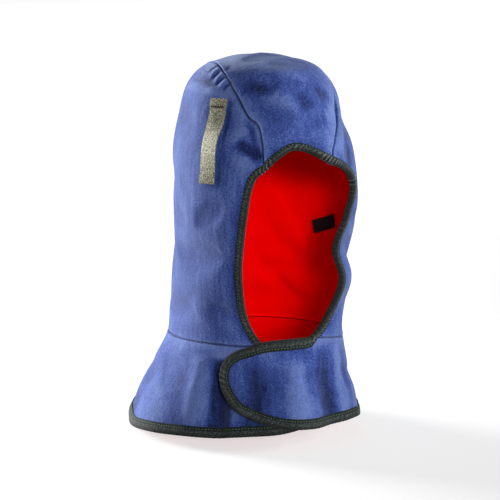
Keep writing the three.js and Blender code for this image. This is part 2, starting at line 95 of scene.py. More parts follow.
def between_rows(rows, places):
    """Smooth rows between given rows. places counts rows, and every column is carried along."""
    last = len(rows) - 1
    i = np.minimum(places.astype(int), last - 1)
    f = (places - i).reshape(-1, *[1] * (rows.ndim - 1))
    a, b, c, d = (rows[np.clip(i + k, 0, last)] for k in (-1, 0, 1, 2))
    slope_in, slope_out, rise = (c - a) / 2, (d - b) / 2, c - b
    cubic = slope_in + slope_out - 2 * rise
    return b + f * (slope_in + f * (rise - slope_in - cubic + f * cubic))


def between_cells(field, rows, columns):
    """Smooth values between the rows and columns of a field."""
    return between_rows(between_rows(field, rows).swapaxes(0, 1), columns).swapaxes(0, 1)


def dense_rows(table):
    rows = np.array(table, float)
    last = len(rows) - 1
    return between_rows(rows, np.linspace(0, last, ROWS_BETWEEN * last + 1))


FORM = np.vstack([dense_rows(BIB_SECTIONS), dense_rows(HOOD_SECTIONS)])
CROWN_TOP = FORM[-1, 0]
print("sections of the worn shape:", len(FORM))

# %% [markdown]
# Cloth has to be laid on that shape, so a few helpers find places on it: straight out from the head's
# axis, round a section by its angle, or on the front by x and height. It is enough to know whether a
# point lies inside, because halving a span over and over finds the surface.

# %% Places on the worn shape
AXIS_Y = 10
AXIS_TOP = -150
SLOPE_STEP = 1.5
FORM_REACH = 300.0
HALVINGS = 40
LEAST_SIZE = 1e-3
LEAST_LENGTH = 1e-9


def section_at(z):
    """Half breadth, half length and centre of the section at a height."""
    return [np.interp(z, FORM[:, 0], FORM[:, column]) for column in (1, 2, 3, 4)]


def level(p):
    """Below 1 inside the worn shape, 1 on it, and above 1 outside."""
    breadth, length, x, y = section_at(p[..., 2])
    across = (p[..., 0] - x) / np.maximum(breadth, LEAST_SIZE)
    along = (p[..., 1] - y) / np.maximum(length, LEAST_SIZE)
    above = p[..., 2] - CROWN_TOP
    return np.where(above >= 0, 2 + above, np.hypot(across, along))


def unit(v):
    return v / np.maximum(np.linalg.norm(v, axis=-1, keepdims=True), LEAST_LENGTH)


def onto_form(guide):
    """Carries points straight out from the head's axis onto the worn shape."""
    root = np.zeros_like(guide)
    root[..., 1] = AXIS_Y
    root[..., 2] = np.minimum(guide[..., 2], AXIS_TOP)
    way = unit(guide - root)
    near, far = np.zeros(guide.shape[:-1]), np.full(guide.shape[:-1], FORM_REACH)
    for _ in range(HALVINGS):
        middle = (near + far) / 2
        inside = level(root + way * middle[..., None]) < 1
        near, far = np.where(inside, middle, near), np.where(inside, far, middle)
    return root + way * near[..., None]


def outward(p):
    steps = np.eye(3) * SLOPE_STEP
    return unit(np.stack([level(p + s) - level(p - s) for s in steps], axis=-1))


def ring_point(angle, z):
    """Angles go round the section's centre: 0 at the front, 90 at the wearer's left."""
    breadth, length, x, y = section_at(z)
    turn = np.radians(angle)
    return np.stack([x + breadth * np.sin(turn), y - length * np.cos(turn), z + 0 * turn], axis=-1)


def angle_of(p):
    breadth, length, x, y = section_at(p[..., 2])
    return np.degrees(np.arctan2((p[..., 0] - x) / breadth, (y - p[..., 1]) / length))


def front_points(table):
    """Points on the front of the worn shape, from x and height."""
    rows = np.array(table, float)
    breadth, length, x, y = section_at(rows[:, 1])
    across = (rows[:, 0] - x) / breadth
    return np.stack([rows[:, 0], y - length * np.sqrt(1 - across**2), rows[:, 1]], axis=-1)


def smoothstep(value, low, high):
    t = np.clip((value - low) / (high - low), 0, 1)
    return t * t * (3 - 2 * t)


def bell(x):
    return np.exp(-(x**2))


form_breadth, form_length = 2 * FORM[:, 1:3].max(axis=0)
print("the form is at most", round(form_breadth), "mm broad and", round(form_length), "mm long")

# %% [markdown]
# The hood is sewn from three panels: a crown strip that runs from the brow over the head to the nape, and
# a side panel on each cheek. A cut line is a smooth curve through a few guide points, read off at shares
# of its length, and pushed out onto the worn shape.

# %% Cut lines of the hood and the bib
# Columns: x, y, z. Both seams were sewn with a kink near the brow
CROWN_SEAM_LEFT = [
    (29, -93, -101), (33, -90, -88), (40, -83, -77), (50, -69, -62), (54.5, -59, -49), (55, -51, -35),
    (51, -40, -20), (46.5, -17, -7), (44, 22, -4), (40, 60, -12), (34, 92, -38),
]
CROWN_SEAM_RIGHT = [
    (-43, -88, -106), (-42.5, -82, -78), (-43.5, -74, -61), (-49, -65, -54.5), (-53, -54, -41),
    (-55, -18, -13), (-47, 22, -5), (-40, 60, -12), (-34, 92, -38),
]
# Columns: x, y, z on the wearer's left. The right seam is its mirror image
CROWN_SEAM_BACK = [
    (27.2, 128.8, -296.8), (27, 124, -240), (28, 111, -180),
    (29, 108, -120), (31, 104, -72), (34, 92, -38),
]
CROWN_SEAM_TOPS = {-1: CROWN_SEAM_RIGHT, 1: CROWN_SEAM_LEFT}
# Columns: x, height, from the wearer's right to the left for the brow, and upward for the face edges
BROW = [(-43, -105), (-28, -92.5), (-14, -85.5), (3, -89.5), (17, -96.8), (29, -102.8)]
RIGHT_RIM = [
    (-36.5, -290.3), (-45, -277), (-52, -260), (-59.5, -234), (-62.5, -207), (-62, -176),
    (-60.5, -150), (-57.5, -129), (-52, -113), (-43, -105),
]
LEFT_RIM = [
    (12.2, -283), (19, -277), (26.5, -269.5), (39.5, -254), (48.5, -234), (51.5, -218), (50.5, -198),
    (47, -176), (52.5, -160), (60.5, -144), (67.5, -131.5), (61, -120), (43, -109),
    (29, -102.8),
]
# Columns: angle, height
HEM = [
    (8, -375), (35, -374.5), (62, -378), (100, -380), (140, -384),
    (180, -388), (230, -391), (265, -390), (300, -384), (335.5, -379),
]
OVERLAP_TOP = [(8, -283), (-8, -283.5), (-24, -286), (-37, -295)]
OVERLAP_END = [(-37, -295), (-44, -305), (-45.3, -319.5), (-41.5, -337.5), (-33, -355)]
OVERLAP_BOTTOM = [(8, -375), (-6, -373), (-21, -365), (-33, -355)]
UNDERLAP_TOP = [(335.5, -290.3), (354, -290.5), (372, -293), (386, -300)]
UNDERLAP_END = [(386, -300), (394, -313), (395, -331), (386, -350)]
UNDERLAP_BOTTOM = [(335.5, -379), (350, -378), (362, -374), (374, -366), (386, -350)]
NECK_MID = -293.5
NECK_TILT = 3.5
NECK_RISE = 7
NECK_RISE_ANGLES = (8, 50)
NECK_RIGHT_ANGLE = 335.5
NECK_LEFT_ANGLE = 8
NAPE_ANGLE = 162
print("left crown seam, brow to nape:", len(CROWN_SEAM_LEFT) + len(CROWN_SEAM_BACK) - 1, "guide points")

# %% [markdown]
# A line through guide points must not overshoot where the points lie close together, so its slopes suit
# uneven gaps. A panel is the field between its four border lines, and the field is then pushed onto the
# worn shape. A sheet could be shrunk onto a head instead, but its seams would drift.

# %% The crown panel's cut
STEPS_BETWEEN = 24
SEAM_SHARES = np.linspace(0, 1, 240)


def read_at(places, known, rows):
    """Rows read off between known places, column by column."""
    return np.stack([np.interp(places, known, column) for column in rows.T], axis=-1)


def distances(line):
    return np.concatenate([[0], np.cumsum(np.linalg.norm(np.diff(line, axis=0), axis=1))])


def read_off(line, shares):
    """Points at shares of a line's length."""
    lengths = distances(line)
    return read_at(np.asarray(shares) * lengths[-1], lengths, line)


def smooth_line(guides, shares):
    """A smooth line through guide points, with slopes that suit uneven gaps."""
    p = np.array(guides, float)
    p = np.vstack([2 * p[0] - p[1], p, 2 * p[-1] - p[-2]])
    gaps = np.sqrt(np.linalg.norm(np.diff(p, axis=0), axis=1))[:, None]
    pace = np.diff(p, axis=0) / gaps
    slope = pace[:-1] - (p[2:] - p[:-2]) / (gaps[:-1] + gaps[1:]) + pace[1:]
    f = np.linspace(0, 1, STEPS_BETWEEN, endpoint=False)[:, None]
    pieces = []
    for k in range(len(p) - 3):
        start, end, gap = p[k + 1], p[k + 2], gaps[k + 1]
        leave, arrive = slope[k] * gap, slope[k + 1] * gap
        cubic = leave + arrive - 2 * (end - start)
        pieces.append(start + f * (leave + f * (end - start - leave - cubic + f * cubic)))
    return read_off(np.vstack([*pieces, p[-2:-1]]), shares)


def back_seam(side, shares):
    return smooth_line(CROWN_SEAM_BACK * np.array([side, 1, 1]), shares)


def neck_line(angles):
    """The neck seam, which rises towards its front end on the wearer's left."""
    rise = NECK_RISE * (1 - smoothstep(angles % 360, *NECK_RISE_ANGLES))
    return ring_point(angles, NECK_MID + NECK_TILT * np.cos(np.radians(angles)) + rise)


def pin_ends(line, first, last):
    """Shifts a line a little, so that it starts and ends on given points."""
    t = np.linspace(0, 1, len(line))[:, None]
    return line + (first - line[0]) * (1 - t) + (last - line[-1]) * t


def fill_field(low, high, start, end, u, v):
    """The field between four lines: low and high run across, start and end run up."""
    u, v = u[None, :, None], v[:, None, None]
    rows = low * (1 - v) + high * v
    columns = start[:, None] * (1 - u) + end[:, None] * u
    bottom = low[0] * (1 - u) + low[-1] * u
    top = high[0] * (1 - u) + high[-1] * u
    return rows + columns - bottom * (1 - v) - top * v


def crown_cut(u, v):
    """The crown panel: across from the right seam to the left one, and over the head from brow to nape."""

    def seam(side):
        top = smooth_line(CROWN_SEAM_TOPS[side], SEAM_SHARES)
        back = back_seam(side, SEAM_SHARES)[::-1]
        line = onto_form(read_off(np.vstack([top, back[1:]]), v))
        return pin_ends(line, line[0], neck_line(np.array([side * NAPE_ANGLE]))[0])

    right, left = seam(-1), seam(1)
    brow = pin_ends(onto_form(smooth_line(front_points(BROW), u)), right[0], left[0])
    nape = neck_line(360 - NAPE_ANGLE + (2 * NAPE_ANGLE - 360) * u)
    return onto_form(fill_field(brow, nape, right, left, u, v))


print("the brow is about", round(distances(front_points(BROW))[-1]), "mm long")

# %% [markdown]
# A side panel is the hard one to lay out. Its threads leave the face edge square to it, or the binding
# would have nothing to lie on, yet they end along the crown seam. So a coarse net is laid first, with its
# second column square to the edge, and evened out like a net that is pulled tight. Finer grids are read
# off it.

# %% The side panels' cut
NET_ACROSS = np.concatenate([[0], np.linspace(0.05, 1, 14)])
NET_UP = np.linspace(0, 1, 19)
NET_BOUND = 12
NET_TURN_SHARE = 0.44
NET_ROUNDS = 160
NET_FULL_COLUMN = 7


def square_column(net, side):
    """Lays the second column square to the face edge. Near its ends it turns with the seams."""
    first = unit(net[:, 1] - net[:, 0])
    along = net[2:, 0] - net[:-2, 0]
    square = unit(np.cross(along, outward(net[1:-1, 0]))) * side
    low = 1 - smoothstep(NET_UP[1:-1], 0, NET_TURN_SHARE)[:, None]
    high = smoothstep(NET_UP[1:-1], 1 - NET_TURN_SHARE, 1)[:, None]
    way = square + (first[0] - square) * low
    way = unit(way + (first[-1] - way) * high)
    net[1:-1, 1] = onto_form(net[1:-1, 0] + way * NET_BOUND)


def even_out(net):
    """Evens the cells out. Near the face edge only the rows are evened, so columns keep the edge's bends."""
    share = smoothstep(np.arange(2, net.shape[1] - 1), 1, NET_FULL_COLUMN)[:, None] / 2
    for _ in range(NET_ROUNDS):
        in_row = (net[1:-1, 1:-2] + net[1:-1, 3:]) / 2
        in_column = (net[:-2, 2:-1] + net[2:, 2:-1]) / 2
        net[1:-1, 2:-1] = onto_form(in_row + (in_column - in_row) * share)


def side_cut(side, rim, from_angle, to_angle):
    """A side panel: across from the face edge to the back seam, and up from the neck to the crown seam."""

    def borders(u, v):
        low = neck_line(from_angle + (to_angle - from_angle) * u)
        high = onto_form(smooth_line(CROWN_SEAM_TOPS[side], u))
        start = pin_ends(onto_form(smooth_line(front_points(rim), v)), low[0], high[0])
        end = pin_ends(onto_form(back_seam(side, v)), low[-1], high[-1])
        return low, high, start, end

    net = onto_form(fill_field(*borders(NET_ACROSS, NET_UP), NET_ACROSS, NET_UP))
    square_column(net, side)
    even_out(net)

    def places(u, v):
        columns = np.interp(u, NET_ACROSS, np.arange(len(NET_ACROSS)))
        field = between_cells(net, v * (len(NET_UP) - 1), columns)
        low, high, start, end = borders(u, v)
        off = low - field[0], high - field[-1], start - field[:, 0], end - field[:, -1]
        return onto_form(field + fill_field(*off, u, v))

    return places


print("net of a side panel:", len(NET_ACROSS), "columns by", len(NET_UP), "rows")

# %% [markdown]
# The bib is one long piece round the neck that laps over itself. Angle and height serve as its flat map:
# the overlap and the underlap are small fields with round ends, and the stretch between them hangs from
# the neck seam to the hem.

# %% The bib's cut
def bib_cut(u, v):
    """The bib from hem to neck. u counts: the overlap up to 1, the back up to 2, the underlap up to 3."""

    def upright(angle, low, high):
        return np.stack(np.broadcast_arrays(angle, low + (high - low) * v), axis=-1)

    def flap(top, bottom, end, share):
        join = upright(top[0][0], bottom[0][1], top[0][1])
        low, high = smooth_line(bottom, share), smooth_line(top, share)
        return fill_field(low, high, join, smooth_line(end[::-1], v), share, v)

    hem = dense_rows(HEM)
    angles = NECK_LEFT_ANGLE + (NECK_RIGHT_ANGLE - NECK_LEFT_ANGLE) * (u[(u > 1) & (u < 2)] - 1)
    low = np.interp(angles, hem[:, 0], hem[:, 1])
    high = neck_line(angles)[:, 2]
    body = np.stack(np.broadcast_arrays(angles, low + (high - low) * v[:, None]), axis=-1)
    overlap = flap(OVERLAP_TOP, OVERLAP_BOTTOM, OVERLAP_END, 1 - u[u <= 1][::-1])[:, ::-1]
    underlap = flap(UNDERLAP_TOP, UNDERLAP_BOTTOM, UNDERLAP_END, u[u >= 2] - 2)
    flat = np.concatenate([overlap, body, underlap], axis=1)
    return ring_point(flat[..., 0], flat[..., 1])


bib_ends = min(angle for angle, _ in OVERLAP_END), max(angle for angle, _ in UNDERLAP_END)
print("the bib goes round from", bib_ends[0], "to", bib_ends[1], "degrees")

# %% [markdown]
# Cloth never follows a head exactly. It dents under the ear flaps, flutes at the hem, puckers where a
# long edge was eased into a short one, and the overlap rides over what is under it. These rises are short
# tables: a hollow is a soft round dent, a flute opens towards the hem, and a fold is a ridge or a valley
# between two points.

# %% Hollows, flutes and folds
# Columns: x, y, z, reach sideways, reach in height, rise
HOLLOWS = [
    (46, -84, -196, 42, 22, -10), (88, -32, -202, 30, 17, -2), (60, -78, -226, 30, 16, 3),
    (-86, -24, -200, 34, 18, -3.5), (-88, 30, -262, 40, 16, -3), (84, 42, -252, 44, 18, -3.5),
    (0, 118, -255, 60, 16, -4), (79, -19, -276, 34, 15, -4.5),
]
# Columns: angle, half width in degrees, rise at the hem
FLUTES = [
    (-28, 11, -5), (4, 14, 3.5), (21, 8, -3.5), (40, 9, 4), (66, 15, 4), (104, 18, -5), (140, 18, 5),
    (176, 18, -5), (212, 18, 5), (246, 16, -4), (276, 16, 4), (315, 11, -8),
]
FLUTE_TOP = -300
FLUTE_BOTTOM = -381
# The bib's share, counted as its cut counts, that belongs to the overlap
BIB_SPLIT = 1.47
LAP_LIFT = 7.8
LAP_ANGLES = (36, 70)
LAP_HEIGHTS = (-222, -282)
FOLD_TAPER = 0.75
# Columns: start x, y, z, end x, y, z, half width, rise
FOLDS = {
    "side_right": [
        (-50, 4, -6, -62, 6, -15, 1.8, -1.6), (-53, -4, -8, -64, -3, -18, 1.9, 1.5),
        (-54, -11, -10, -64, -8, -20, 1.8, -1.8), (-55, -18, -13, -65, -15, -23, 1.9, 1.6),
        (-56, -23, -15, -65, -19, -24, 1.7, -1.9), (-56, -29, -18, -64, -25, -27, 1.8, 1.5),
        (-56, -35, -21, -63, -31, -29, 1.7, -1.8), (-70, 30, -20, -63, -24, -23, 4, -1.2),
        (-72, 42, -27, -67, -27, -31, 6, 1.3), (-71, -11, -29, -57, -49, -35, 4, 1.5),
        (-51, -64, -54, -45, -86, -94, 5, -2.4), (-63, -64, -76, -41, -88, -99, 7, -3.8),
        (-58, -44, -36, -77, -55, -128, 2.8, -1.8),
    ],
    "crown": [
        (-46, -10, -6, -53, -19, -12, 2.2, -1.4), (-50, -47, -25, -22, -71, -30, 9, -1.5),
        (-38, -64, -31, 0, -83, -46, 9, 1.2), (2, -75, -29, 10, -84, -48, 9, -1.1),
        (-16, -56, -11, 20, -66, -20, 9, 1.2), (20, -70, -26, 42, -66, -40, 7, -1.2),
        (30, -80, -60, 46, -66, -50, 7, 1.4), (55, -51, -35, 48, -72, -65, 2.4, -2.4),
        (52, -66, -58, 36, -87, -84, 2.4, -1.6),
    ],
    "side_left": [
        (61, -43, -36, 55, -67, -69, 4, 1.9), (58, -60, -58, 41, -86, -94, 4.5, 1.7),
        (55, -51, -35, 48, -72, -65, 2.4, -2.4), (52, -66, -58, 36, -87, -84, 2.4, -1.6),
        (58, -74, -84, 60, -82, -112, 7, -1.5), (46, -86, -150, 92, -10, -176, 9, -3.2),
        (66, -68, -208, 95, 6, -203, 10, -2.2), (72, -62, -230, 94, 6, -240, 12, 1.6),
    ],
    "bib_over": [
        (-7, -88, -298, -9, -104, -394, 13, 2.8), (25, -84, -290, 33, -90, -402, 12, -2.0),
        (45, -72, -292, 55, -81, -394, 8, 2.4), (-46, -74, -298, -51, -88, -374, 15, -2.6),
    ],
    "bib_under": [
        (-83, -19, -302, -100, -34, -394, 13, 2.8), (-71, -43, -304, -78, -56, -394, 10, -9.0),
    ],
}
print("folds laid by hand:", sum(len(rows) for rows in FOLDS.values()))

# %% [markdown]
# Each table becomes a height above the worn shape. A bell curve fades a dent or a fold out sideways, and
# a fold fades out at both ends too, so that none of them shows a border.

# %% Heights above the worn shape
def hood_hollows(p):
    rise = np.zeros(p.shape[:-1])
    for x, y, z, sideways, upward, depth in HOLLOWS:
        across = np.hypot(p[..., 0] - x, p[..., 1] - y) / sideways
        rise += depth * np.exp(-across**2 - ((p[..., 2] - z) / upward) ** 2)
    return rise


def bib_flutes(p):
    rise = np.zeros(p.shape[:-1])
    angle = angle_of(p)
    for place, width, depth in FLUTES:
        away = ((angle - place + 540) % 360 - 180) / width
        rise += depth * bell(away)
    return rise * smoothstep(-p[..., 2], -FLUTE_TOP, -FLUTE_BOTTOM)


def lap_lift(p):
    """How far the overlap, and the cheek above it, ride over the underlap."""
    round_front = 1 - smoothstep(angle_of(p), *LAP_ANGLES)
    return LAP_LIFT * round_front * smoothstep(-p[..., 2], -LAP_HEIGHTS[0], -LAP_HEIGHTS[1])


def fold_rises(p, table):
    """Ridges and valleys that run between two points and fade out at both."""
    rise = np.zeros(p.shape[:-1])
    for row in table:
        start, end = onto_form(np.array([row[:3], row[3:6]], float))
        width, depth = row[6:]
        run = end - start
        t = np.clip((p - start) @ run / (run @ run), 0, 1)
        away = np.linalg.norm(p - start - t[..., None] * run, axis=-1) / width
        rise += depth * bell(away) * (4 * t * (1 - t)) ** FOLD_TAPER
    return rise


def panel_folds(name, grid):
    """A panel's folds. The bib has its own on the overlap and on what lies under it."""
    p = grid["point"]
    if name != "bib":
        return fold_rises(p, FOLDS[name])
    over, under = (fold_rises(p, FOLDS[flap]) for flap in ("bib_over", "bib_under"))
    return np.where(grid["u"] < BIB_SPLIT, over, under)


print("hollows in the hood:", len(HOLLOWS), "and flutes round the hem:", len(FLUTES))

# %% [markdown]
# Each panel is first laid out as a grid of places on the worn shape. The grid is finer where something
# small happens: at a seam, where the cloth rolls over and dives into the stitching, and under the
# binding.

# %% Panels as grids
CLOTH_STEP = 1.9
LINING_STEP = 3.4
DRAPE_STEP = 4.2
SEAM_GAP = 0.14
SEAM_STEPS = (0, 0.7, 1.6, 3, 4.6)
BOUND_STEPS = (0, 2.6, 5.2, 7.8, 10.4)
# Typical lengths in millimetres: the overlap, the way round the back, the underlap
BIB_STRETCHES = (98, 640, 112)
PANELS = {
    "crown": dict(cut=crown_cut, across=100, up=560, edges=("seam", "seam", "bound", "seam")),
    "side_right": dict(cut=side_cut(-1, RIGHT_RIM, NECK_RIGHT_ANGLE, 360 - NAPE_ANGLE), across=235, up=255,
                       edges=("bound", "seam", "seam", "seam")),
    "side_left": dict(cut=side_cut(1, LEFT_RIM, NECK_LEFT_ANGLE, NAPE_ANGLE), across=235, up=255,
                      edges=("bound", "seam", "seam", "seam")),
    "bib": dict(cut=bib_cut, across=BIB_STRETCHES, up=88, edges=("bound", "bound", "bound", "seam")),
}


def shares(length, step, start, end):
    """Shares of a line: small given steps at both ends and even cells between them."""
    first, last = np.array(start), length - np.array(end)[::-1]
    cells = max(round((last[0] - first[-1]) / step), 2)
    even = np.linspace(first[-1], last[0], cells + 1)
    return np.concatenate([first[:-1], even, last[1:]]) / length


def panel_shares(panel, step, is_plain):
    """Shares across and up a panel. A plain grid has even cells all over."""
    steps = {"seam": SEAM_STEPS, "bound": BOUND_STEPS}
    start, end, low, high = ((0, step) if is_plain else steps[kind] for kind in panel["edges"])
    up = shares(panel["up"], step, low, high)
    if panel["cut"] is not bib_cut:
        return shares(panel["across"], step, start, end), up
    lengths = panel["across"]
    overlap = shares(lengths[0], step, start, (0, step))
    body = 1 + shares(lengths[1], step, (0, step), (0, step))
    underlap = 2 + shares(lengths[2], step, (0, step), end)
    return np.concatenate([overlap, body[1:], underlap[1:]]), up


def along_rows(p):
    """Distance of each point from the start of its row."""
    gaps = np.linalg.norm(np.diff(p, axis=1), axis=-1)
    return np.concatenate([np.zeros((len(p), 1)), np.cumsum(gaps, axis=1)], axis=1)


def along_columns(p):
    return along_rows(p.swapaxes(0, 1)).swapaxes(0, 1)


def trim_border(p):
    """Draws the border in by half a seam gap, so that neighbours stay apart."""
    trimmed = p.copy()
    for axis in (0, 1):
        q, moved = np.moveaxis(p, axis, 0), np.moveaxis(trimmed, axis, 0)
        moved[0] += unit(q[1] - q[0]) * SEAM_GAP / 2
        moved[-1] += unit(q[-2] - q[-1]) * SEAM_GAP / 2
    return trimmed


def lay_out(name, step, is_plain=False):
    """A panel's places on the form, outward directions, shares, and distances from its four edges."""
    panel = PANELS[name]
    u, v = panel_shares(panel, step, is_plain)
    point = trim_border(panel["cut"](u, v))
    across, up = along_rows(point), along_columns(point)
    edges = across, across[:, -1:] - across, up, up[-1:] - up
    return dict(point=point, out=outward(point), u=u, v=v, edges=edges)


for name in PANELS:
    grid = lay_out(name, CLOTH_STEP)["point"].shape
    print(name, "grid:", grid[1], "columns by", grid[0], "rows")

# %% [markdown]
# At a seam the cloth rolls over and dives into the stitching, and at a bound edge it curls in towards the
# face. Both are profiles across the edge, added to the rise. The crown's edge stands a little prouder
# than the side panel's, because its allowance is folded under it.

# %% Rolled seams and curled edges
ROLL_WIDTH = 0.9
RIDGE_PLACE = 2.0
RIDGE_WIDTH = 1.1
CURL_WIDTH = 14
# Columns for the start, end, low and high edge: groove and ridge of a seam, or curl of a bound edge
EDGE_SHAPES = {
    "crown": ((2.2, 0.9), (3.0, 0.9), (1.2,), (1.6, 0.4)),
    "side_right": ((2.6,), (1.9, 0.2), (1.0, 0.35), (2.5, 0.0)),
    "side_left": ((0.6,), (1.9, 0.2), (1.0, 0.35), (2.8, 0.4)),
    "bib": ((0.6,), (0.6,), (0.6,), (2.6, 0.1)),
}


def edge_rise(distance, shape):
    """The profile of one edge, as a curl or as a groove beside a ridge."""
    if len(shape) == 1:
        return -shape[0] * bell(distance / CURL_WIDTH)
    groove, ridge = shape
    return ridge * bell((distance - RIDGE_PLACE) / RIDGE_WIDTH) - groove * bell(distance / ROLL_WIDTH)


def edge_rises(name, grid):
    """The profiles of a panel's four edges. The flaps are bound along their upper edge too."""
    start, end, low, high = EDGE_SHAPES[name]
    rise = sum(edge_rise(d, shape) for d, shape in zip(grid["edges"][:3], (start, end, low)))
    top = edge_rise(grid["edges"][3], high)
    if name == "bib":
        on_flap = (grid["u"] <= 1) | (grid["u"] >= 2)
        top = np.where(on_flap, edge_rise(grid["edges"][3], low), top)
    return rise + top


def worn_rise(name, grid):
    """The cloth's height above the form, without its seams."""
    p = grid["point"]
    rise = hood_hollows(p) + bib_flutes(p) + panel_folds(name, grid)
    if name == "side_left":
        rise += lap_lift(p)
    if name == "bib":
        rise += lap_lift(p) * (grid["u"] < BIB_SPLIT)
    return rise


print("deepest seam groove:", max(shape[0] for shape in EDGE_SHAPES["crown"]), "mm")

# %% [markdown]
# The small folds come from a cloth simulation. Each panel is a flat grid that is carried to its place and
# pinned along its edges, where it is sewn, with a weak hold on the fleece elsewhere. It gets a little
# more length than the form needs, so it has to buckle, as washed cloth does. How far it may move is
# capped, so that it stays in its place.

# %% Drape the panels
DRAPE_FRAMES = 18
DRAPE_EXTRA = 0.014
DRAPE_HOLD = 0.13
DRAPE_GRAVITY = 0.05
DRAPE_CLOTH = dict(
    quality=6, mass=0.12, tension_stiffness=12, compression_stiffness=12, shear_stiffness=4,
    bending_stiffness=12, vertex_group_mass="held", shrink_min=-DRAPE_EXTRA,
)
# How far each panel's cloth may move, in millimetres, and how far from an edge that grows from none to all
DRAPE_CAPS = {"crown": 1.0, "side_right": 1.5, "side_left": 1.5, "bib": 0.8}
DRAPE_FREE = (9, 30)
LEAST_MOVE = 1e-6


def mesh_values(items, key, width, kind=float):
    """A property of all of a mesh's items, as rows of numbers."""
    values = np.empty(len(items) * width, kind)
    items.foreach_get(key, values)
    return values.reshape(-1, width)


def grid_sheet(name, points):
    """A flat grid carried to its worn place. Returns its object, and each vertex's row and column."""
    rows, columns = points.shape[:2]
    bpy.ops.object.select_all(action="DESELECT")
    bpy.ops.mesh.primitive_grid_add(x_subdivisions=columns - 1, y_subdivisions=rows - 1, size=1)
    sheet = bpy.context.object
    sheet.name = sheet.data.name = name
    flat = mesh_values(sheet.data.vertices, "co", 3) + 0.5
    column = np.rint(flat[:, 0] * (columns - 1)).astype(int)
    row = np.rint(flat[:, 1] * (rows - 1)).astype(int)
    sheet.data.vertices.foreach_set("co", (points[row, column] * MM).ravel())
    sheet.data.update()
    return sheet, row, column


def settle(sheet, holds):
    """Lets a sheet settle as cloth, with each point held by its own weight."""
    held = sheet.vertex_groups.new(name="held")
    for index, hold in enumerate(holds):
        held.add([index], hold, "REPLACE")
    cloth = sheet.modifiers.new("drape", "CLOTH")
    for key, value in DRAPE_CLOTH.items():
        setattr(cloth.settings, key, value)
    cloth.settings.effector_weights.gravity = DRAPE_GRAVITY
    cloth.collision_settings.use_collision = False
    cloth.point_cache.frame_end = DRAPE_FRAMES
    for number in range(1, DRAPE_FRAMES + 1):
        bpy.context.scene.frame_set(number)
    bpy.ops.object.modifier_apply(modifier="drape")


def drape(name):
    """Settles a panel, and returns its plain grid with how far each place moved."""
    grid = lay_out(name, DRAPE_STEP, is_plain=True)
    start = grid["point"] + grid["out"] * worn_rise(name, grid)[..., None]
    moved = np.zeros_like(start)
    sheet, row, column = grid_sheet("draping", start)
    nearest = np.min([np.broadcast_to(d, start.shape[:2]) for d in grid["edges"]], axis=0)
    settle(sheet, np.where(nearest < DRAPE_STEP, 1.0, DRAPE_HOLD)[row, column])
    moved[row, column] = mesh_values(sheet.data.vertices, "co", 3) / MM - start[row, column]
    bpy.data.objects.remove(sheet)
    bpy.context.scene.frame_set(1)
    size = np.linalg.norm(moved, axis=-1)
    cap = DRAPE_CAPS[name] * smoothstep(nearest, *DRAPE_FREE)
    capped = cap * np.tanh(size / np.maximum(cap, LEAST_MOVE))
    moved *= (capped / np.maximum(size, LEAST_MOVE))[..., None]
    print(name, "moved at most", round(float(size.max()), 1), "mm before the cap")
    return grid, moved


DRAPED = {name: drape(name) for name in PANELS}

# %% [markdown]
# Each point of a panel gets its worn place, and a number for its relief: above nothing on a ridge, below
# nothing in a valley. The finish reads that number: ridges lighter, partly worn dye and partly painted
# highlight, and valleys darker as painted shade.

# %% Worn surfaces
CLOTH = 1.2
LAYER_GAP = 0.3
FLEECE = 2.0
STACK = CLOTH + LAYER_GAP + FLEECE
# The reach of a fold's surroundings, the heights of a full fold and a full flute, and the drape's share,
# all for the painted shading of ridges and valleys
FOLD_BLUR = 9.0
FOLD_FULL = 1.0
FLUTE_FULL = 6.0
DRAPE_TONE = 0.25


def draped(name, grid):
    """How far the draped cloth moved, read off on another grid of the same panel."""
    plain, moved = DRAPED[name]
    rows = np.interp(grid["v"], plain["v"], np.arange(len(plain["v"])))
    columns = np.interp(grid["u"], plain["u"], np.arange(len(plain["u"])))
    return between_cells(moved, rows, columns)


def padded(values, axis, cells):
    """Rows along an axis, with the first and the last repeated past the border."""
    rows = np.moveaxis(values, axis, 0)
    return np.concatenate([rows[:1].repeat(cells, 0), rows, rows[-1:].repeat(cells, 0)])


def blurred(values, cells):
    """A running mean over rows and columns, taken three times so that it is smooth."""
    width = 2 * cells + 1
    for axis in (0, 1, 0, 1, 0, 1):
        rows = padded(values, axis, cells)
        sums = np.concatenate([np.zeros_like(rows[:1]), np.cumsum(rows, axis=0)])
        values = np.moveaxis((sums[width:] - sums[:-width]) / width, 0, axis)
    return values


def worn_surface(name, step):
    """A panel's outer face, its directions, its flat places in metres and its painted relief shading."""
    grid = lay_out(name, step)
    seams = edge_rises(name, grid)
    moved = draped(name, grid)
    grid["face"] = grid["point"] + grid["out"] * (worn_rise(name, grid) + seams)[..., None] + moved
    # Painted shading from the relief: darker in seams, valleys, flute hollows and drape dimples as painted
    # shade, lighter on ridges as worn dye and painted highlight
    settled = (moved * grid["out"]).sum(axis=-1) * DRAPE_TONE
    height = seams + panel_folds(name, grid) + settled
    relief_shading = (height - blurred(height, max(round(FOLD_BLUR / step), 1))) / FOLD_FULL
    relief_shading += bib_flutes(grid["point"]) / FLUTE_FULL
    grid["relief_shading"] = np.clip(relief_shading, -1, 1)
    across, up = grid["edges"][0], grid["edges"][2]
    middle = across[len(across) // 2], up[:, up.shape[1] // 2]
    grid["flat"] = np.stack(np.meshgrid(*middle), axis=-1) * MM
    return grid


print("layers from the outside in:", CLOTH, "of cloth,", LAYER_GAP, "of air,", FLEECE, "mm of fleece")

# %% [markdown]
# The shell and the lining are the same surface at two depths, so they never cut through each other.
# Solidify gives a sheet its second face and its rim, and the points of that face are then set to the
# exact depth.

# %% Shell and lining sheets
NECK_SHADE = 0.3
SMOOTH_ANGLE = math.radians(50)


def put_value(sheet, name, values):
    """Gives each point of a sheet a number that a finish can read."""
    layer = sheet.data.attributes.new(name, "FLOAT", "POINT")
    layer.data.foreach_set("value", values.astype(np.float32))


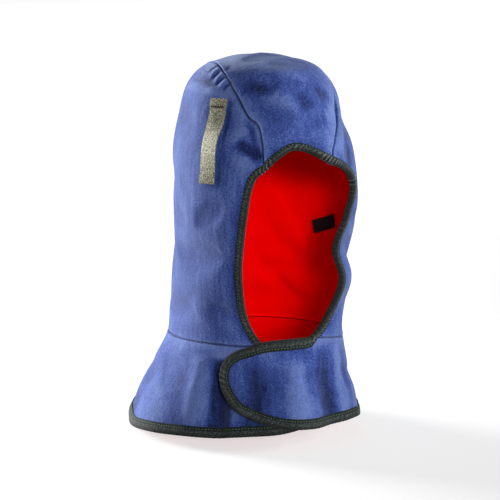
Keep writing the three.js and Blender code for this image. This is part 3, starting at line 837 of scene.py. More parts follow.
def put_flat(sheet, flat):
    """The sheet's own map: places on the flat cloth, in metres."""
    corners = mesh_values(sheet.data.loops, "vertex_index", 1, int)[:, 0]
    sheet.data.uv_layers.active.data.foreach_set("uv", flat[corners].astype(np.float32).ravel())


def face_out(sheet, out):
    """Turns a sheet's faces so that they look along the given directions."""
    if (mesh_values(sheet.data.vertices, "normal", 3) * out).sum() < 0:
        bpy.ops.object.mode_set(mode="EDIT")
        bpy.ops.mesh.select_all(action="SELECT")
        bpy.ops.mesh.flip_normals()
        bpy.ops.object.mode_set(mode="OBJECT")


def closed_sheet(name, upper, lower, out, flat, relief_shading, back=None):
    """A closed sheet between two faces. With back, the upper face is painted black as shade, and the lower
    is painted as dark as back says, as shade.
    """
    sheet, row, column = grid_sheet(name, upper)
    face_out(sheet, out[row, column])
    wall = sheet.modifiers.new("thickness", "SOLIDIFY")
    wall.thickness = MM
    wall.offset = -1
    bpy.ops.object.modifier_apply(modifier="thickness")
    layers = np.concatenate([upper[row, column], lower[row, column]])
    sheet.data.vertices.foreach_set("co", (layers * MM).ravel())
    put_flat(sheet, np.tile(flat[row, column], (2, 1)))
    put_value(sheet, "relief_shading", np.tile(relief_shading[row, column], 2))
    if back is not None:
        # Painted shade: the hidden upper face black, the border of the lower face darker
        put_value(sheet, "back", np.concatenate([np.ones(len(row)), back[row, column]]))
    bpy.ops.object.shade_smooth_by_angle(angle=SMOOTH_ANGLE)
    print(name, "has", len(sheet.data.polygons), "faces")
    return sheet


def border(panel, grid):
    """Marks a lining's border, which lies in the shade of its seams. The neck seam is pressed flat."""
    marks = np.ones(grid["point"].shape[:2])
    marks[1:-1, 1:-1] = 0
    marks[0 if panel.startswith("side") else -1] = NECK_SHADE
    return marks


def layered_sheet(name, grid, top, thickness, back=None):
    """A closed sheet of cloth that lies below a worn surface."""
    upper, lower = (grid["face"] - grid["out"] * depth for depth in (top, top + thickness))
    return closed_sheet(name, upper, lower, grid["out"], grid["flat"], grid["relief_shading"], back)


# Columns: panel, cloth piece, its node, fleece piece, its node
SHEETS = [
    ("crown", "crown_cloth", "crown_panel", "crown_fleece", "lining_crown"),
    ("side_right", "side_cloth_right", "side_panel_right", "side_fleece_right", "lining_side_right"),
    ("side_left", "side_cloth_left", "side_panel_left", "side_fleece_left", "lining_side_left"),
    ("bib", "bib_cloth", "bib_panel", "bib_fleece", "bib_lining"),
]
SURFACES = {}
PIECES = {}
for panel, cloth, _, fleece, _ in SHEETS:
    SURFACES[panel] = worn_surface(panel, CLOTH_STEP)
    PIECES[cloth] = layered_sheet(cloth, SURFACES[panel], 0, CLOTH)
    inner = worn_surface(panel, LINING_STEP)
    PIECES[fleece] = layered_sheet(fleece, inner, CLOTH + LAYER_GAP, FLEECE, border(panel, inner))

# %% [markdown]
# One long bias tape is folded over the raw edge, once round: brow, right cheek, underlap, hem, overlap
# and left cheek. A curve with a bevel would cut through the cloth, so the tape is walked over it instead:
# from each station on the edge it steps inward on the outer face and on the fleece, and a round nose
# joins the two legs. Tight turns pucker the tape, which is why the wrinkles grow where the edge bends.

# %% The raw edge
EDGE_STEP = 1.2
EDGE_SMOOTH = 4.0
BELL_TAIL = 3
JOIN_SLACK = 1e-6
# The tape lies deeper on the bib than round the face
FACE_SHARE = 0.7
HEM_SHARE = 1.14


def stations(name, rows, columns):
    """A panel's edge in order. Columns: outer face, outward direction, share of the tape's depth."""
    grid = SURFACES[name]
    face = grid["face"][rows, columns]
    depth = np.full((len(face), 1), HEM_SHARE if name == "bib" else FACE_SHARE)
    return np.concatenate([face, grid["out"][rows, columns], depth], axis=-1)


bib_u = SURFACES["bib"]["u"]
over_join, under_join, split = np.searchsorted(bib_u, (1 - JOIN_SLACK, 2 - JOIN_SLACK, BIB_SPLIT))
crown_middle = SURFACES["crown"]["face"].shape[1] // 2
# The loop in order, and on which side of the wearer each stretch lies
LOOP = [
    ("left", stations("crown", 0, slice(None, crown_middle, -1))),
    ("right", stations("crown", 0, slice(crown_middle, None, -1))),
    ("right", stations("side_right", slice(None, None, -1), 0)),
    ("right", stations("bib", -1, slice(under_join, None))),
    ("right", stations("bib", slice(None, None, -1), -1)),
    ("right", stations("bib", 0, slice(None, split, -1))),
    ("left", stations("bib", 0, slice(split, None, -1))),
    ("left", stations("bib", slice(None), 0)),
    ("left", stations("bib", -1, slice(None, over_join + 1))),
    ("left", stations("side_left", slice(None), 0)),
]


def ring_smooth(values, reach):
    """A smooth running mean round a closed ring of stations."""
    cells = max(round(reach / EDGE_STEP), 1)
    tail = BELL_TAIL * cells
    weights = np.exp(-0.5 * (np.arange(-tail, tail + 1) / cells) ** 2)
    rolled = [w * np.roll(values, k - tail, axis=0) for k, w in enumerate(weights)]
    return np.sum(rolled, axis=0) / weights.sum()


def turn_at(values):
    """The change round each station, from the one before it to the one after it."""
    return np.roll(values, -1, axis=0) - np.roll(values, 1, axis=0)


loop_rows = np.concatenate([np.insert(line, 7, side == "left", axis=1) for side, line in LOOP])
loop_rows = np.vstack([loop_rows, loop_rows[:1]])
loop_lengths = distances(loop_rows[:, :3])
EDGE_LENGTH = loop_lengths[-1]
edge_count = round(EDGE_LENGTH / EDGE_STEP)
ring = np.linspace(0, EDGE_LENGTH, edge_count, endpoint=False)
edge_rows = read_at(ring, loop_lengths, loop_rows)
edge_out = unit(ring_smooth(edge_rows[:, 3:6], EDGE_SMOOTH))
edge_middle = ring_smooth(edge_rows[:, :3], EDGE_SMOOTH) - edge_out * STACK / 2
edge_share = ring_smooth(edge_rows[:, 6:7], EDGE_SMOOTH)
edge_sides = np.where(edge_rows[:, 7] > 0.5, "left", "right")
edge_along = unit(turn_at(edge_middle))
# The ring starts at the brow, where inward is up
edge_inward = unit(np.cross(edge_out, edge_along))
edge_inward *= np.sign(edge_inward[0, 2])
print("the raw edge is", round(EDGE_LENGTH), "mm long, with", edge_count, "stations")

# %% [markdown]
# A search tree over each side of the liner finds the nearest cloth. At the throat the two flaps lie on
# top of each other, so each side has a tree of its own, or the tape would jump from one flap to the
# other.

# %% Walk the tape over the cloth
LEG_STEPS = np.array([0, 1.4, 2.8, 4.2, 5.4, 6.2, 7, 7.8, 8.4])
LEG_SMOOTH = 1.8
SPLIT_SPARE = 12


def surface_tree(names, depth, columns):
    """A search tree over the panels of one side of the wearer, at a depth below the outer face."""
    points, faces, start = [], [], 0
    for name in names:
        grid = SURFACES[name]
        part = (grid["face"] - grid["out"] * depth)[:, columns if name == "bib" else slice(None)]
        count, width = part.shape[:2]
        corner = (np.arange(count - 1)[:, None] * width + np.arange(width - 1)).ravel() + start
        faces.extend(np.stack([corner, corner + 1, corner + width + 1, corner + width], axis=-1).tolist())
        points.extend(part.reshape(-1, 3).tolist())
        start += count * width
    return BVHTree.FromPolygons(points, faces)


SIDES = {
    "left": (("crown", "side_left", "bib"), slice(None, split + SPLIT_SPARE)),
    "right": (("crown", "side_right", "bib"), slice(split - SPLIT_SPARE, None)),
}
TREES = {(side, depth): surface_tree(names, depth, columns)
         for side, (names, columns) in SIDES.items() for depth in (0, STACK)}


def nearest_on(side, depth, p):
    return np.array([TREES[side, depth].find_nearest(Vector(q))[0] for q in p])


def walk_leg(depth):
    """Points on the cloth at each step of a leg, as steps by stations."""
    here = edge_middle + edge_out * (STACK / 2 - depth)
    leg = []
    for step in np.diff(LEG_STEPS, prepend=0):
        here = here + edge_inward * edge_share * step
        for side in SIDES:
            chosen = edge_sides == side
            here[chosen] = nearest_on(side, depth, here[chosen])
        leg.append(here)
    return np.array([ring_smooth(line, LEG_SMOOTH) for line in leg])


outside_leg, inside_leg = walk_leg(0), walk_leg(STACK)
TAPE_DEPTH = float(LEG_STEPS[-1] * edge_share.mean())
print("the tape lies", round(TAPE_DEPTH, 1), "mm deep on each face of the edge on average")

# %% [markdown]
# The tape puffs up between the nose and the stitching, is pinched by it, and puckers in slanting waves.
# The waves come early or late and differ in height, with a fixed seed, because even ones look like a
# rope. The crests and the puff are painted lighter as highlight, and the pinch darker as shade.

# %% Puckers of the tape
TAPE_WALL = 0.9
STITCH_PLACE = 6.2
STITCH_PINCH = 0.4
PINCH_WIDTH = 0.9
PUFF = 0.45
# Offset of the tape's painted shading
PUFF_TONE = 0.3
BORDER_SHARE = 0.55
PUCKER_PITCH = 5.2
PUCKER_SEED = 4
PUCKER_LATE = 1.6
PUCKER_UNEVEN = 0.5
PUCKER_RANGE = (0.2, 1.5)
PUCKER_LIFT = 0.4
PUCKER_SWING = 0.8
PUCKER_SLANT = 0.1
PUCKER_RISE = 0.14
PUCKER_BEND_RISE = 14.0
PUCKER_BEND_FREE = 0.016
PUCKER_MOST = 1.0
PUCKER_FADE = (4.5, 7.5)
PUCKER_FADED = 0.8
BEND_REACH = 9.0
# Columns: x and height of a place on the face edge where the tape was gathered, reach and rise
GATHERS = [(-46, -101, 12, 0.8), (27, -99, 15, 0.9), (46, -110, 9, 0.6)]


def pucker_waves():
    """Heights of the puckers at each station, and the phase of their waves."""
    bend = np.abs((turn_at(edge_along) * edge_inward).sum(axis=-1)) / (2 * EDGE_STEP)
    sharp = np.maximum(ring_smooth(bend, BEND_REACH) - PUCKER_BEND_FREE, 0)
    height = np.minimum(PUCKER_RISE + PUCKER_BEND_RISE * sharp, PUCKER_MOST)
    for x, z, reach, rise in GATHERS:
        away = np.hypot(edge_middle[:, 0] - x, edge_middle[:, 2] - z) / reach
        height = np.maximum(height, rise * bell(away))
    chance = np.random.default_rng(PUCKER_SEED).standard_normal((2, edge_count))
    late, tall = (ring_smooth(row, PUCKER_PITCH) for row in chance)
    turns = 2 * math.pi * ring / EDGE_LENGTH * round(EDGE_LENGTH / PUCKER_PITCH)
    uneven = np.clip(1 + PUCKER_UNEVEN * tall / tall.std(), *PUCKER_RANGE)
    return height * uneven, turns + PUCKER_LATE * late / late.std()


pucker_height, pucker_phase = pucker_waves()


def tape_rise(step):
    """Height of the tape over the cloth at a step from the edge, and its painted shading, for each station.
    """
    puff = PUFF * math.sin(math.pi * min(step / STITCH_PLACE, 1))
    pinch = STITCH_PINCH * bell((step - STITCH_PLACE) / PINCH_WIDTH)
    wave = PUCKER_LIFT + PUCKER_SWING * np.sin(pucker_phase + 2 * math.pi * PUCKER_SLANT * step)
    pucker = pucker_height * wave * (1 - PUCKER_FADED * smoothstep(step, *PUCKER_FADE))
    wall = TAPE_WALL * (BORDER_SHARE if step == LEG_STEPS[-1] else 1)
    # Painted highlight on pucker crests and the puff, painted shade at the stitch pinch
    return wall + puff - pinch + pucker, pucker / PUCKER_MOST - pinch + puff - PUFF_TONE


print("puckers round the edge:", round(EDGE_LENGTH / PUCKER_PITCH))

# %% [markdown]
# A section of the tape goes down the outer leg, round the nose, up the inner leg and back on the hidden
# side. The grid of all sections is closed both ways by merging its doubled border.

# %% Make the binding
TAPE_CLEAR = 0.4
NOSE_CLEAR = 0.6
NOSE_TURNS = np.radians([75, 50, 25, 0, -25, -50, -75])
# The hidden side of the tape has a point at every third step
HIDDEN_EVERY = 3
MERGE_DISTANCE = 1e-6


def tape_sections():
    """Points, flat places and painted shading of the tape, as places round the section by stations."""
    half = STACK / 2 + TAPE_CLEAR
    path, points, folds = [], [], []

    def add(place, base, way, step):
        rise, relief_shading = tape_rise(step)
        path.append(place)
        points.append(base + way * rise[:, None])
        folds.append(relief_shading)

    for step, line in zip(LEG_STEPS[::-1], outside_leg[::-1]):
        add(step + half, line + edge_out * TAPE_CLEAR, edge_out, step)
    middle = (outside_leg[0] + inside_leg[0]) / 2
    for turn in NOSE_TURNS:
        way = edge_out * math.sin(turn) - edge_inward * math.cos(turn)
        base = middle + edge_out * (half * math.sin(turn)) - edge_inward * (NOSE_CLEAR * math.cos(turn))
        add(half * turn / math.pi * 2, base, way, 0)
    for step, line in zip(LEG_STEPS, inside_leg):
        add(-step - half, line - edge_out * TAPE_CLEAR, -edge_out, step)
    for leg, side in ((inside_leg[::-HIDDEN_EVERY], -1), (outside_leg[::HIDDEN_EVERY], 1)):
        for line in leg:
            path.append(0)
            points.append(line + edge_out * (side * TAPE_CLEAR))
            folds.append(np.zeros(edge_count))
    return np.array(path), np.array(points), np.array(folds)


def closed_both_ways(values):
    values = np.concatenate([values, values[:1]])
    return np.concatenate([values, values[:, :1]], axis=1)


def make_binding():
    path, points, folds = tape_sections()
    tape, row, column = grid_sheet("edge_tape", closed_both_ways(points))
    along = np.append(ring, EDGE_LENGTH)
    put_flat(tape, np.stack([along[column], np.append(path, path[0])[row]], axis=-1) * MM)
    put_value(tape, "relief_shading", np.clip(closed_both_ways(folds)[row, column], -1, 1))
    bpy.ops.object.mode_set(mode="EDIT")
    bpy.ops.mesh.select_all(action="SELECT")
    bpy.ops.mesh.remove_doubles(threshold=MERGE_DISTANCE)
    bpy.ops.mesh.normals_make_consistent(inside=False)
    bpy.ops.object.mode_set(mode="OBJECT")
    bpy.ops.object.shade_smooth_by_angle(angle=SMOOTH_ANGLE)
    print("edge_tape has", len(tape.data.polygons), "faces")
    return tape


PIECES["edge_tape"] = make_binding()

# %% [markdown]
# A row of lighter green stitches runs along the tape on both faces. One stitch is a small rounded bead of
# thread. It is copied by an array, and every copy is then carried to its own place, a little aslant as a
# lockstitch lies.

# %% Sew the binding
STITCH_PITCH = 3.3
STITCH_SIZE = (0.8, 0.6, 2.2)
STITCH_SLANT = 0.25
STITCH_SINK = 0.05
BEAD_SEGMENTS = 6
BEAD_RINGS = 4


def sew(name, middle, along, out, size):
    """One piece of many stitches, each lying along its own direction."""
    bpy.ops.object.select_all(action="DESELECT")
    bpy.ops.mesh.primitive_uv_sphere_add(segments=BEAD_SEGMENTS, ring_count=BEAD_RINGS, radius=0.5)
    thread = bpy.context.object
    thread.name = thread.data.name = name
    bead = mesh_values(thread.data.vertices, "co", 3) * size
    copies = thread.modifiers.new("copies", "ARRAY")
    copies.use_relative_offset = False
    copies.count = len(middle)
    bpy.ops.object.modifier_apply(modifier="copies")
    ways = np.stack([unit(np.cross(out, along)), out, along], axis=1)
    points = middle[:, None] + np.einsum("kc,ncd->nkd", bead, ways)
    thread.data.vertices.foreach_set("co", (points * MM).ravel())
    thread.data.update()
    bpy.ops.object.shade_smooth()
    print(name, "has", len(middle), "stitches")
    return thread


def tape_stitches():
    """Places, directions and outward directions of the stitches on both legs of the tape."""
    step = int(np.argmin(np.abs(LEG_STEPS - STITCH_PLACE)))
    count = round(EDGE_LENGTH / STITCH_PITCH)
    at = np.arange(count) * EDGE_LENGTH / count
    height = TAPE_CLEAR + tape_rise(STITCH_PLACE)[0][:, None] - STITCH_SINK
    parts = []
    for leg, side in ((outside_leg, 1), (inside_leg, -1)):
        line = leg[step] + edge_out * (side * height)
        along = edge_along + edge_inward * (side * STITCH_SLANT)
        rows = np.concatenate([line, along, side * edge_out], axis=1)
        parts.append(read_at(at, np.append(ring, EDGE_LENGTH), np.vstack([rows, rows[:1]])))
    rows = np.concatenate(parts)
    return rows[:, :3], unit(rows[:, 3:6]), unit(rows[:, 6:9])


PIECES["edge_stitches"] = sew("edge_stitches", *tape_stitches(), STITCH_SIZE)

# %% [markdown]
# The straps are heather webbing, sewn down at both ends with the cut ends turned under, and slack
# between, so each bows away from the cloth and its front edge stands proud. Webbing bridges small folds:
# its height is the highest cloth near each place, smoothed.

# %% Straps
STRAP_WIDTH = 20
STRAP_THICK = 1.6
STRAP_TOP = (-66, -34, -37)
STRAP_BOTTOM = (-84, -43, -122)
STRAP_CLEAR = 0.5
STRAP_TURN = 9
STRAP_TURN_SOFT = 1.5
STRAP_TURN_RISE = 1.1
BOW_PLACE = 0.58
BOW_WIDTH = 0.24
BOW_FADE = 0.5
SMALL_STEP = 1.0
EASE = 6
RAY_REACH = 30
BEVEL = 0.35
BEVEL_SEGMENTS = 2


def cloth_rise(side, depth, p, out, from_outside=True):
    """Height of the settled cloth above the form at given places, looked at from one side."""
    way = out if from_outside else -out
    rises = np.zeros(p.shape[:-1])
    for index in np.ndindex(*rises.shape):
        start = p[index] + way[index] * RAY_REACH
        hit = TREES[side, depth].ray_cast(Vector(start), Vector(-way[index]))[0]
        rises[index] = (np.array(hit) - p[index]) @ out[index] if hit else 0
    return rises


def highest_near(values, cells):
    """The highest value near each place, smoothed, so that it lies over all of them."""
    for axis in (0, 1):
        rows = padded(values, axis, cells)
        count = len(rows) - 2 * cells
        values = np.moveaxis(np.max([rows[k:k + count] for k in range(2 * cells + 1)], axis=0), 0, axis)
    return blurred(values, max(cells // 3, 1))


def band_places(start, end, width):
    """Places on the form along a straight band, with shares along it and across it."""
    run = end - start
    length = np.linalg.norm(run)
    along = np.linspace(0, 1, round(length / SMALL_STEP) + 1)
    across = np.linspace(-1, 1, round(width / SMALL_STEP) + 1)
    centre = start + along[:, None] * run
    way = unit(np.cross(run, outward(onto_form(centre)))) * width / 2
    p = onto_form(centre[:, None] + way[:, None] * across[None, :, None])
    return p, along, across, length


def finish_edges(piece):
    bevel = piece.modifiers.new("bevel", "BEVEL")
    bevel.width = BEVEL * MM
    bevel.segments = BEVEL_SEGMENTS
    bevel.limit_method = "ANGLE"
    bevel.angle_limit = SMOOTH_ANGLE
    bpy.ops.object.modifier_apply(modifier="bevel")
    bpy.ops.object.shade_smooth_by_angle(angle=SMOOTH_ANGLE)
    return piece


def small_sheet(name, p, out, low, high, relief_shading):
    """A small closed sheet between two heights above the form."""
    flat = np.stack([along_rows(p), along_columns(p)], axis=-1) * MM
    upper, lower = p + out * high[..., None], p + out * low[..., None]
    return finish_edges(closed_sheet(name, upper, lower, out, flat, relief_shading))


def strap(name, side, back, bows):
    """A strap, its top and its directions. bows are its heights at the bend, on the front and back edge."""
    mirror = np.array([1 if side == "right" else -1, 1, 1])
    start, end = onto_form(np.array([STRAP_TOP, STRAP_BOTTOM]) * mirror + (0, back, 0))
    p, along, across, length = band_places(start, end, STRAP_WIDTH)
    out = outward(p)
    front = (1 - across * mirror[0]) / 2
    bow = bell((along - BOW_PLACE) / BOW_WIDTH) * np.sin(math.pi * along) ** BOW_FADE
    stand = bow[:, None] * (bows[1] + (bows[0] - bows[1]) * front)
    low = highest_near(cloth_rise(side, 0, p, out), EASE) + STRAP_CLEAR + stand
    from_end = np.minimum(along, 1 - along) * length
    flat_from = smoothstep(from_end, STRAP_TURN - STRAP_TURN_SOFT, STRAP_TURN + STRAP_TURN_SOFT)
    high = low + STRAP_THICK + STRAP_TURN_RISE * (1 - flat_from)[:, None]
    # Painted highlight on the bow's crest and painted shade towards the sewn ends
    relief_shading = np.repeat(2 * bow[:, None] - 1, len(across), axis=1)
    return small_sheet(name, p, out, low, high, relief_shading), p + out * high[..., None], out


# Columns: side, how far back it is set, its heights at the bend
STRAPS = [("right", 0, (4.5, 1.5)), ("left", 60, (2.5, 1.5))]
STRAP_TOPS = {}
for side, back, bows in STRAPS:
    name = "webbing_" + side
    PIECES[name], *STRAP_TOPS[side] = strap(name, side, back, bows)

# %% [markdown]
# Near its upper end each strap is fixed by a bar tack: a short dense zigzag in black thread across most
# of its width. It uses the same bead of thread, laid from side to side.

# %% Bar tacks
TACK_PLACE = 0.105
TACK_SHARE = 0.8
TACK_TURNS = 13
TACK_HEIGHT = 2.8
TACK_THREAD = (1.0, 0.8)


def bar_tack(name, top, out):
    """A zigzag of thread across a strap, given the strap's top and its directions."""
    row = round(TACK_PLACE * (len(top) - 1))
    count = top.shape[1]
    at = np.linspace((1 - TACK_SHARE) / 2, (1 + TACK_SHARE) / 2, TACK_TURNS) * (count - 1)
    line = read_at(at, np.arange(count), top[row])
    down = unit(top[row + 1] - top[row - 1])[count // 2]
    line = line + down * (TACK_HEIGHT / 2 * (-1.0) ** np.arange(TACK_TURNS))[:, None]
    run = np.diff(line, axis=0)
    length = float(np.linalg.norm(run, axis=1).mean())
    outs = np.repeat(out[row, count // 2][None], len(run), axis=0)
    return sew(name, (line[1:] + line[:-1]) / 2, unit(run), outs, (*TACK_THREAD, length))


for side, (top, out) in STRAP_TOPS.items():
    name = "bar_tack_" + side
    PIECES[name] = bar_tack(name, top, out)

# %% [markdown]
# Two pieces of hook tape: a small patch on the fleece of the left cheek, where a mouth piece fastens, and
# the closure between the flaps, which the overlap hides. Both are stiff strips that bridge the pile under
# them.

# %% Hook patch and closure tape
PATCH_CENTRE = (87.5, 27, -184)
PATCH_LENGTH = 40
PATCH_HEIGHT = 14.5
PATCH_DROP = 11
PATCH_CLEAR = 0.4
PATCH_THICK = 1.5
CLOSURE_ANGLES = (-20, 10)
CLOSURE_HEIGHTS = (-345, -310)
CLOSURE_POINTS = (50, 32)
CLOSURE_CLEAR = 0.5
CLOSURE_THICK = 2.0


def hook_patch():
    """The patch on the fleece, tilted so that its rear end lies lower."""
    centre = np.array(PATCH_CENTRE)
    half = unit(np.cross((0, 0, 1), outward(onto_form(centre))))
    half *= math.sqrt(PATCH_LENGTH**2 - PATCH_DROP**2) / 2
    half[2] = -PATCH_DROP / 2
    p = band_places(centre - half, centre + half, PATCH_HEIGHT)[0]
    out = outward(p)
    pile = -highest_near(-cloth_rise("left", STACK, p, out, from_outside=False), EASE)
    high = pile - PATCH_CLEAR
    return small_sheet("hook_patch", p, out, high - PATCH_THICK, high, np.zeros(high.shape))


def closure():
    angles = np.linspace(*CLOSURE_ANGLES, CLOSURE_POINTS[0])
    heights = np.linspace(*CLOSURE_HEIGHTS, CLOSURE_POINTS[1])
    p = ring_point(*np.meshgrid(angles, heights))
    out = outward(p)
    low = highest_near(cloth_rise("right", 0, p, out), EASE) + CLOSURE_CLEAR
    return small_sheet("closure_strip", p, out, low, low + CLOSURE_THICK, np.zeros(low.shape))


PIECES["hook_patch"] = hook_patch()
PIECES["closure_strip"] = closure()

# %% [markdown]
# Finishes are made of shader nodes. These helpers add a node, feed its inputs and open a shared group, so
# that each finish below stays short.

# %% Helpers for shader nodes
def add_node(tree, kind, **settings):
    node = tree.nodes.new("ShaderNode" + kind)
    for key, value in settings.items():
        setattr(node, key, value)
    return node


def feed(tree, socket, value):
    """Links a socket to another, or sets its number or colour."""
    if isinstance(value, bpy.types.NodeSocket):
        tree.links.new(value, socket)
    else:
        socket.default_value = value


def calc(tree, operation, *values):
    node = add_node(tree, "Math", operation=operation)
    for socket, value in zip(node.inputs, values):
        feed(tree, socket, value)
    return node.outputs[0]


def noise(tree, vector, scale, detail):
    node = add_node(tree, "TexNoise")
    feed(tree, node.inputs["Vector"], vector)
    feed(tree, node.inputs["Scale"], scale)
    feed(tree, node.inputs["Detail"], detail)
    return node.outputs["Fac"]


def new_group(name, inputs, outputs):
    """A shader node group, with its input and output sockets by name."""
    tree = bpy.data.node_groups.new(name, "ShaderNodeTree")
    for label, kind in inputs.items():
        tree.interface.new_socket(label, in_out="INPUT", socket_type="NodeSocket" + kind)
    for label, kind in outputs.items():
        tree.interface.new_socket(label, in_out="OUTPUT", socket_type="NodeSocket" + kind)
    return tree, tree.nodes.new("NodeGroupInput").outputs, tree.nodes.new("NodeGroupOutput").inputs


def use_group(tree, group, **values):
    node = add_node(tree, "Group", node_tree=group)
    for label, value in values.items():
        feed(tree, node.inputs[label], value)
    return node.outputs


def own_place(tree):
    """Places on the piece itself, so that a finish stays put."""
    return add_node(tree, "TexCoord").outputs["Object"]


def add_bump(tree, shader, height, depth, **settings):
    """Raises a finish by a height, with the depth in millimetres."""
    bump = add_node(tree, "Bump", **settings)
    bump.inputs["Distance"].default_value = depth * MM
    feed(tree, bump.inputs["Height"], height)
    feed(tree, shader["Normal"], bump.outputs["Normal"])


# %% [markdown]
# Washed cotton is never one colour: dye goes in patches, wears off on ridges and runs in faint streaks.
# Valleys are painted darker as shade, and ridges lighter, partly as painted highlight. That wear and
# painted shade is one node group. The weave and the grain of the threads are two more, shared by the
# cloths with their own scale. All of them read the piece's own places, so they stay put.

# %% Shared effects: wear and painted shade, grain and weave
# Pairs of scale and detail
MOTTLE_NOISE = (34, 5)
STREAK_NOISE = (230, 3)
WOBBLE_NOISE = (160, 2)
GRAIN_DETAIL = 2
STREAK_STRETCH = (1, 1, 0.08)
WOBBLE = 2.5
MIDDLE_TONE = 0.5


def wear_and_shade_group():
    tree, given, result = new_group(
        "dye wear",
        {"Place": "Vector", "Fold": "Float", "Mottle": "Float", "Streak": "Float", "Ridge": "Float"},
        {"Tone": "Float"},
    )
    stretched = add_node(tree, "VectorMath", operation="MULTIPLY")
    feed(tree, stretched.inputs[0], given["Place"])
    stretched.inputs[1].default_value = STREAK_STRETCH
    mottle = calc(tree, "SUBTRACT", noise(tree, given["Place"], *MOTTLE_NOISE), MIDDLE_TONE)
    streak = calc(tree, "SUBTRACT", noise(tree, stretched.outputs[0], *STREAK_NOISE), MIDDLE_TONE)
    tone = calc(tree, "MULTIPLY_ADD", mottle, given["Mottle"], MIDDLE_TONE)
    tone = calc(tree, "MULTIPLY_ADD", streak, given["Streak"], tone)
    # Painted shade in valleys and painted highlight with worn dye on ridges, from the relief number
    feed(tree, result["Tone"], calc(tree, "MULTIPLY_ADD", given["Fold"], given["Ridge"], tone))
    return tree


def grain_group():
    tree, given, result = new_group(
        "thread grain", {"Place": "Vector", "Scale": "Float", "Amount": "Float"}, {"Tone": "Float"}
    )
    grain = calc(tree, "SUBTRACT", noise(tree, given["Place"], given["Scale"], GRAIN_DETAIL), MIDDLE_TONE)
    feed(tree, result["Tone"], calc(tree, "MULTIPLY", grain, given["Amount"]))
    return tree


def weave_group():
    tree, given, result = new_group(
        "weave", {"Flat": "Vector", "Ribs": "Float", "Slant": "Float"}, {"Height": "Float"}
    )
    axes = add_node(tree, "SeparateXYZ")
    feed(tree, axes.inputs[0], given["Flat"])
    slanted = calc(tree, "MULTIPLY_ADD", axes.outputs["Y"], given["Slant"], axes.outputs["X"])
    straight = calc(tree, "MULTIPLY", slanted, given["Ribs"])
    turns = calc(tree, "MULTIPLY_ADD", noise(tree, given["Flat"], *WOBBLE_NOISE), WOBBLE, straight)
    wave = calc(tree, "SINE", calc(tree, "MULTIPLY", turns, 2 * math.pi))
    feed(tree, result["Height"], calc(tree, "MULTIPLY_ADD", wave, 0.5, 0.5))
    return tree


DYE_WEAR_AND_SHADE, GRAIN, WEAVE = wear_and_shade_group(), grain_group(), weave_group()
print("shared effects:", ", ".join(group.name for group in (DYE_WEAR_AND_SHADE, GRAIN, WEAVE)))

# %% [markdown]
# Each cloth mixes those effects its own way. The tone picks a colour between deep and faded dye, and the
# deep end also paints shade in valleys and the faded end highlight on ridges. The weave and the grain
# raise a small bump, and a sheen stands for the loose fibres that catch light at a grazing angle.

# %% Cloth materials
# Columns: deep, middle and faded colour; mottle, streak and ridge, the ridge being the share of painted
# shade and highlight from the relief; grain scale and amount; ribs per metre, slant and bump in
# millimetres; sheen, its roughness and tint
CLOTHS = {
    "navy twill": dict(
        colours=((0.006, 0.012, 0.060), (0.034, 0.066, 0.275), (0.122, 0.180, 0.440)),
        wear_and_shade=(0.45, 0.60, 0.42), grain=(640, 1.1), weave=(560, 0.8, 0.25),
        sheen=(0.25, 0.4, (0.7, 0.82, 1, 1)),
    ),
    "red fleece": dict(
        colours=((0.80, 0.0, 0.0), (0.92, 0.0002, 0.0003), (0.96, 0.001, 0.001)),
        wear_and_shade=(0.3, 0.1, 0.1), grain=(380, 0.4), weave=(300, 0.3, 0.05),
        sheen=(0.0, 0.5, (1, 0.1, 0.1, 1)),
    ),
    "binding tape": dict(
        colours=((0.003, 0.004, 0.004), (0.022, 0.027, 0.026), (0.110, 0.130, 0.125)),
        wear_and_shade=(0.25, 0.1, 0.5), grain=(700, 1.0), weave=(900, 1.0, 0.12),
        sheen=(0.08, 0.3, (0.8, 0.9, 0.85, 1)),
    ),
    "heather webbing": dict(
        colours=((0.034, 0.032, 0.018), (0.300, 0.294, 0.208), (0.70, 0.69, 0.54)),
        wear_and_shade=(0.15, 0.0, 0.16), grain=(720, 2.0), weave=(620, 0.0, 0.3),
        sheen=(0.15, 0.5, (1, 1, 0.9, 1)),
    ),
}
ROUGH_CLOTH = 0.9
LOW_SPECULAR = 0.15


def new_material(name):
    """A rough material. Returns it, its nodes and the inputs of its shader."""
    material = bpy.data.materials.new(name)
    material.use_nodes = True
    shader = material.node_tree.nodes["Principled BSDF"]
    shader.inputs["Roughness"].default_value = ROUGH_CLOTH
    shader.inputs["Specular IOR Level"].default_value = LOW_SPECULAR
    return material, material.node_tree, shader.inputs


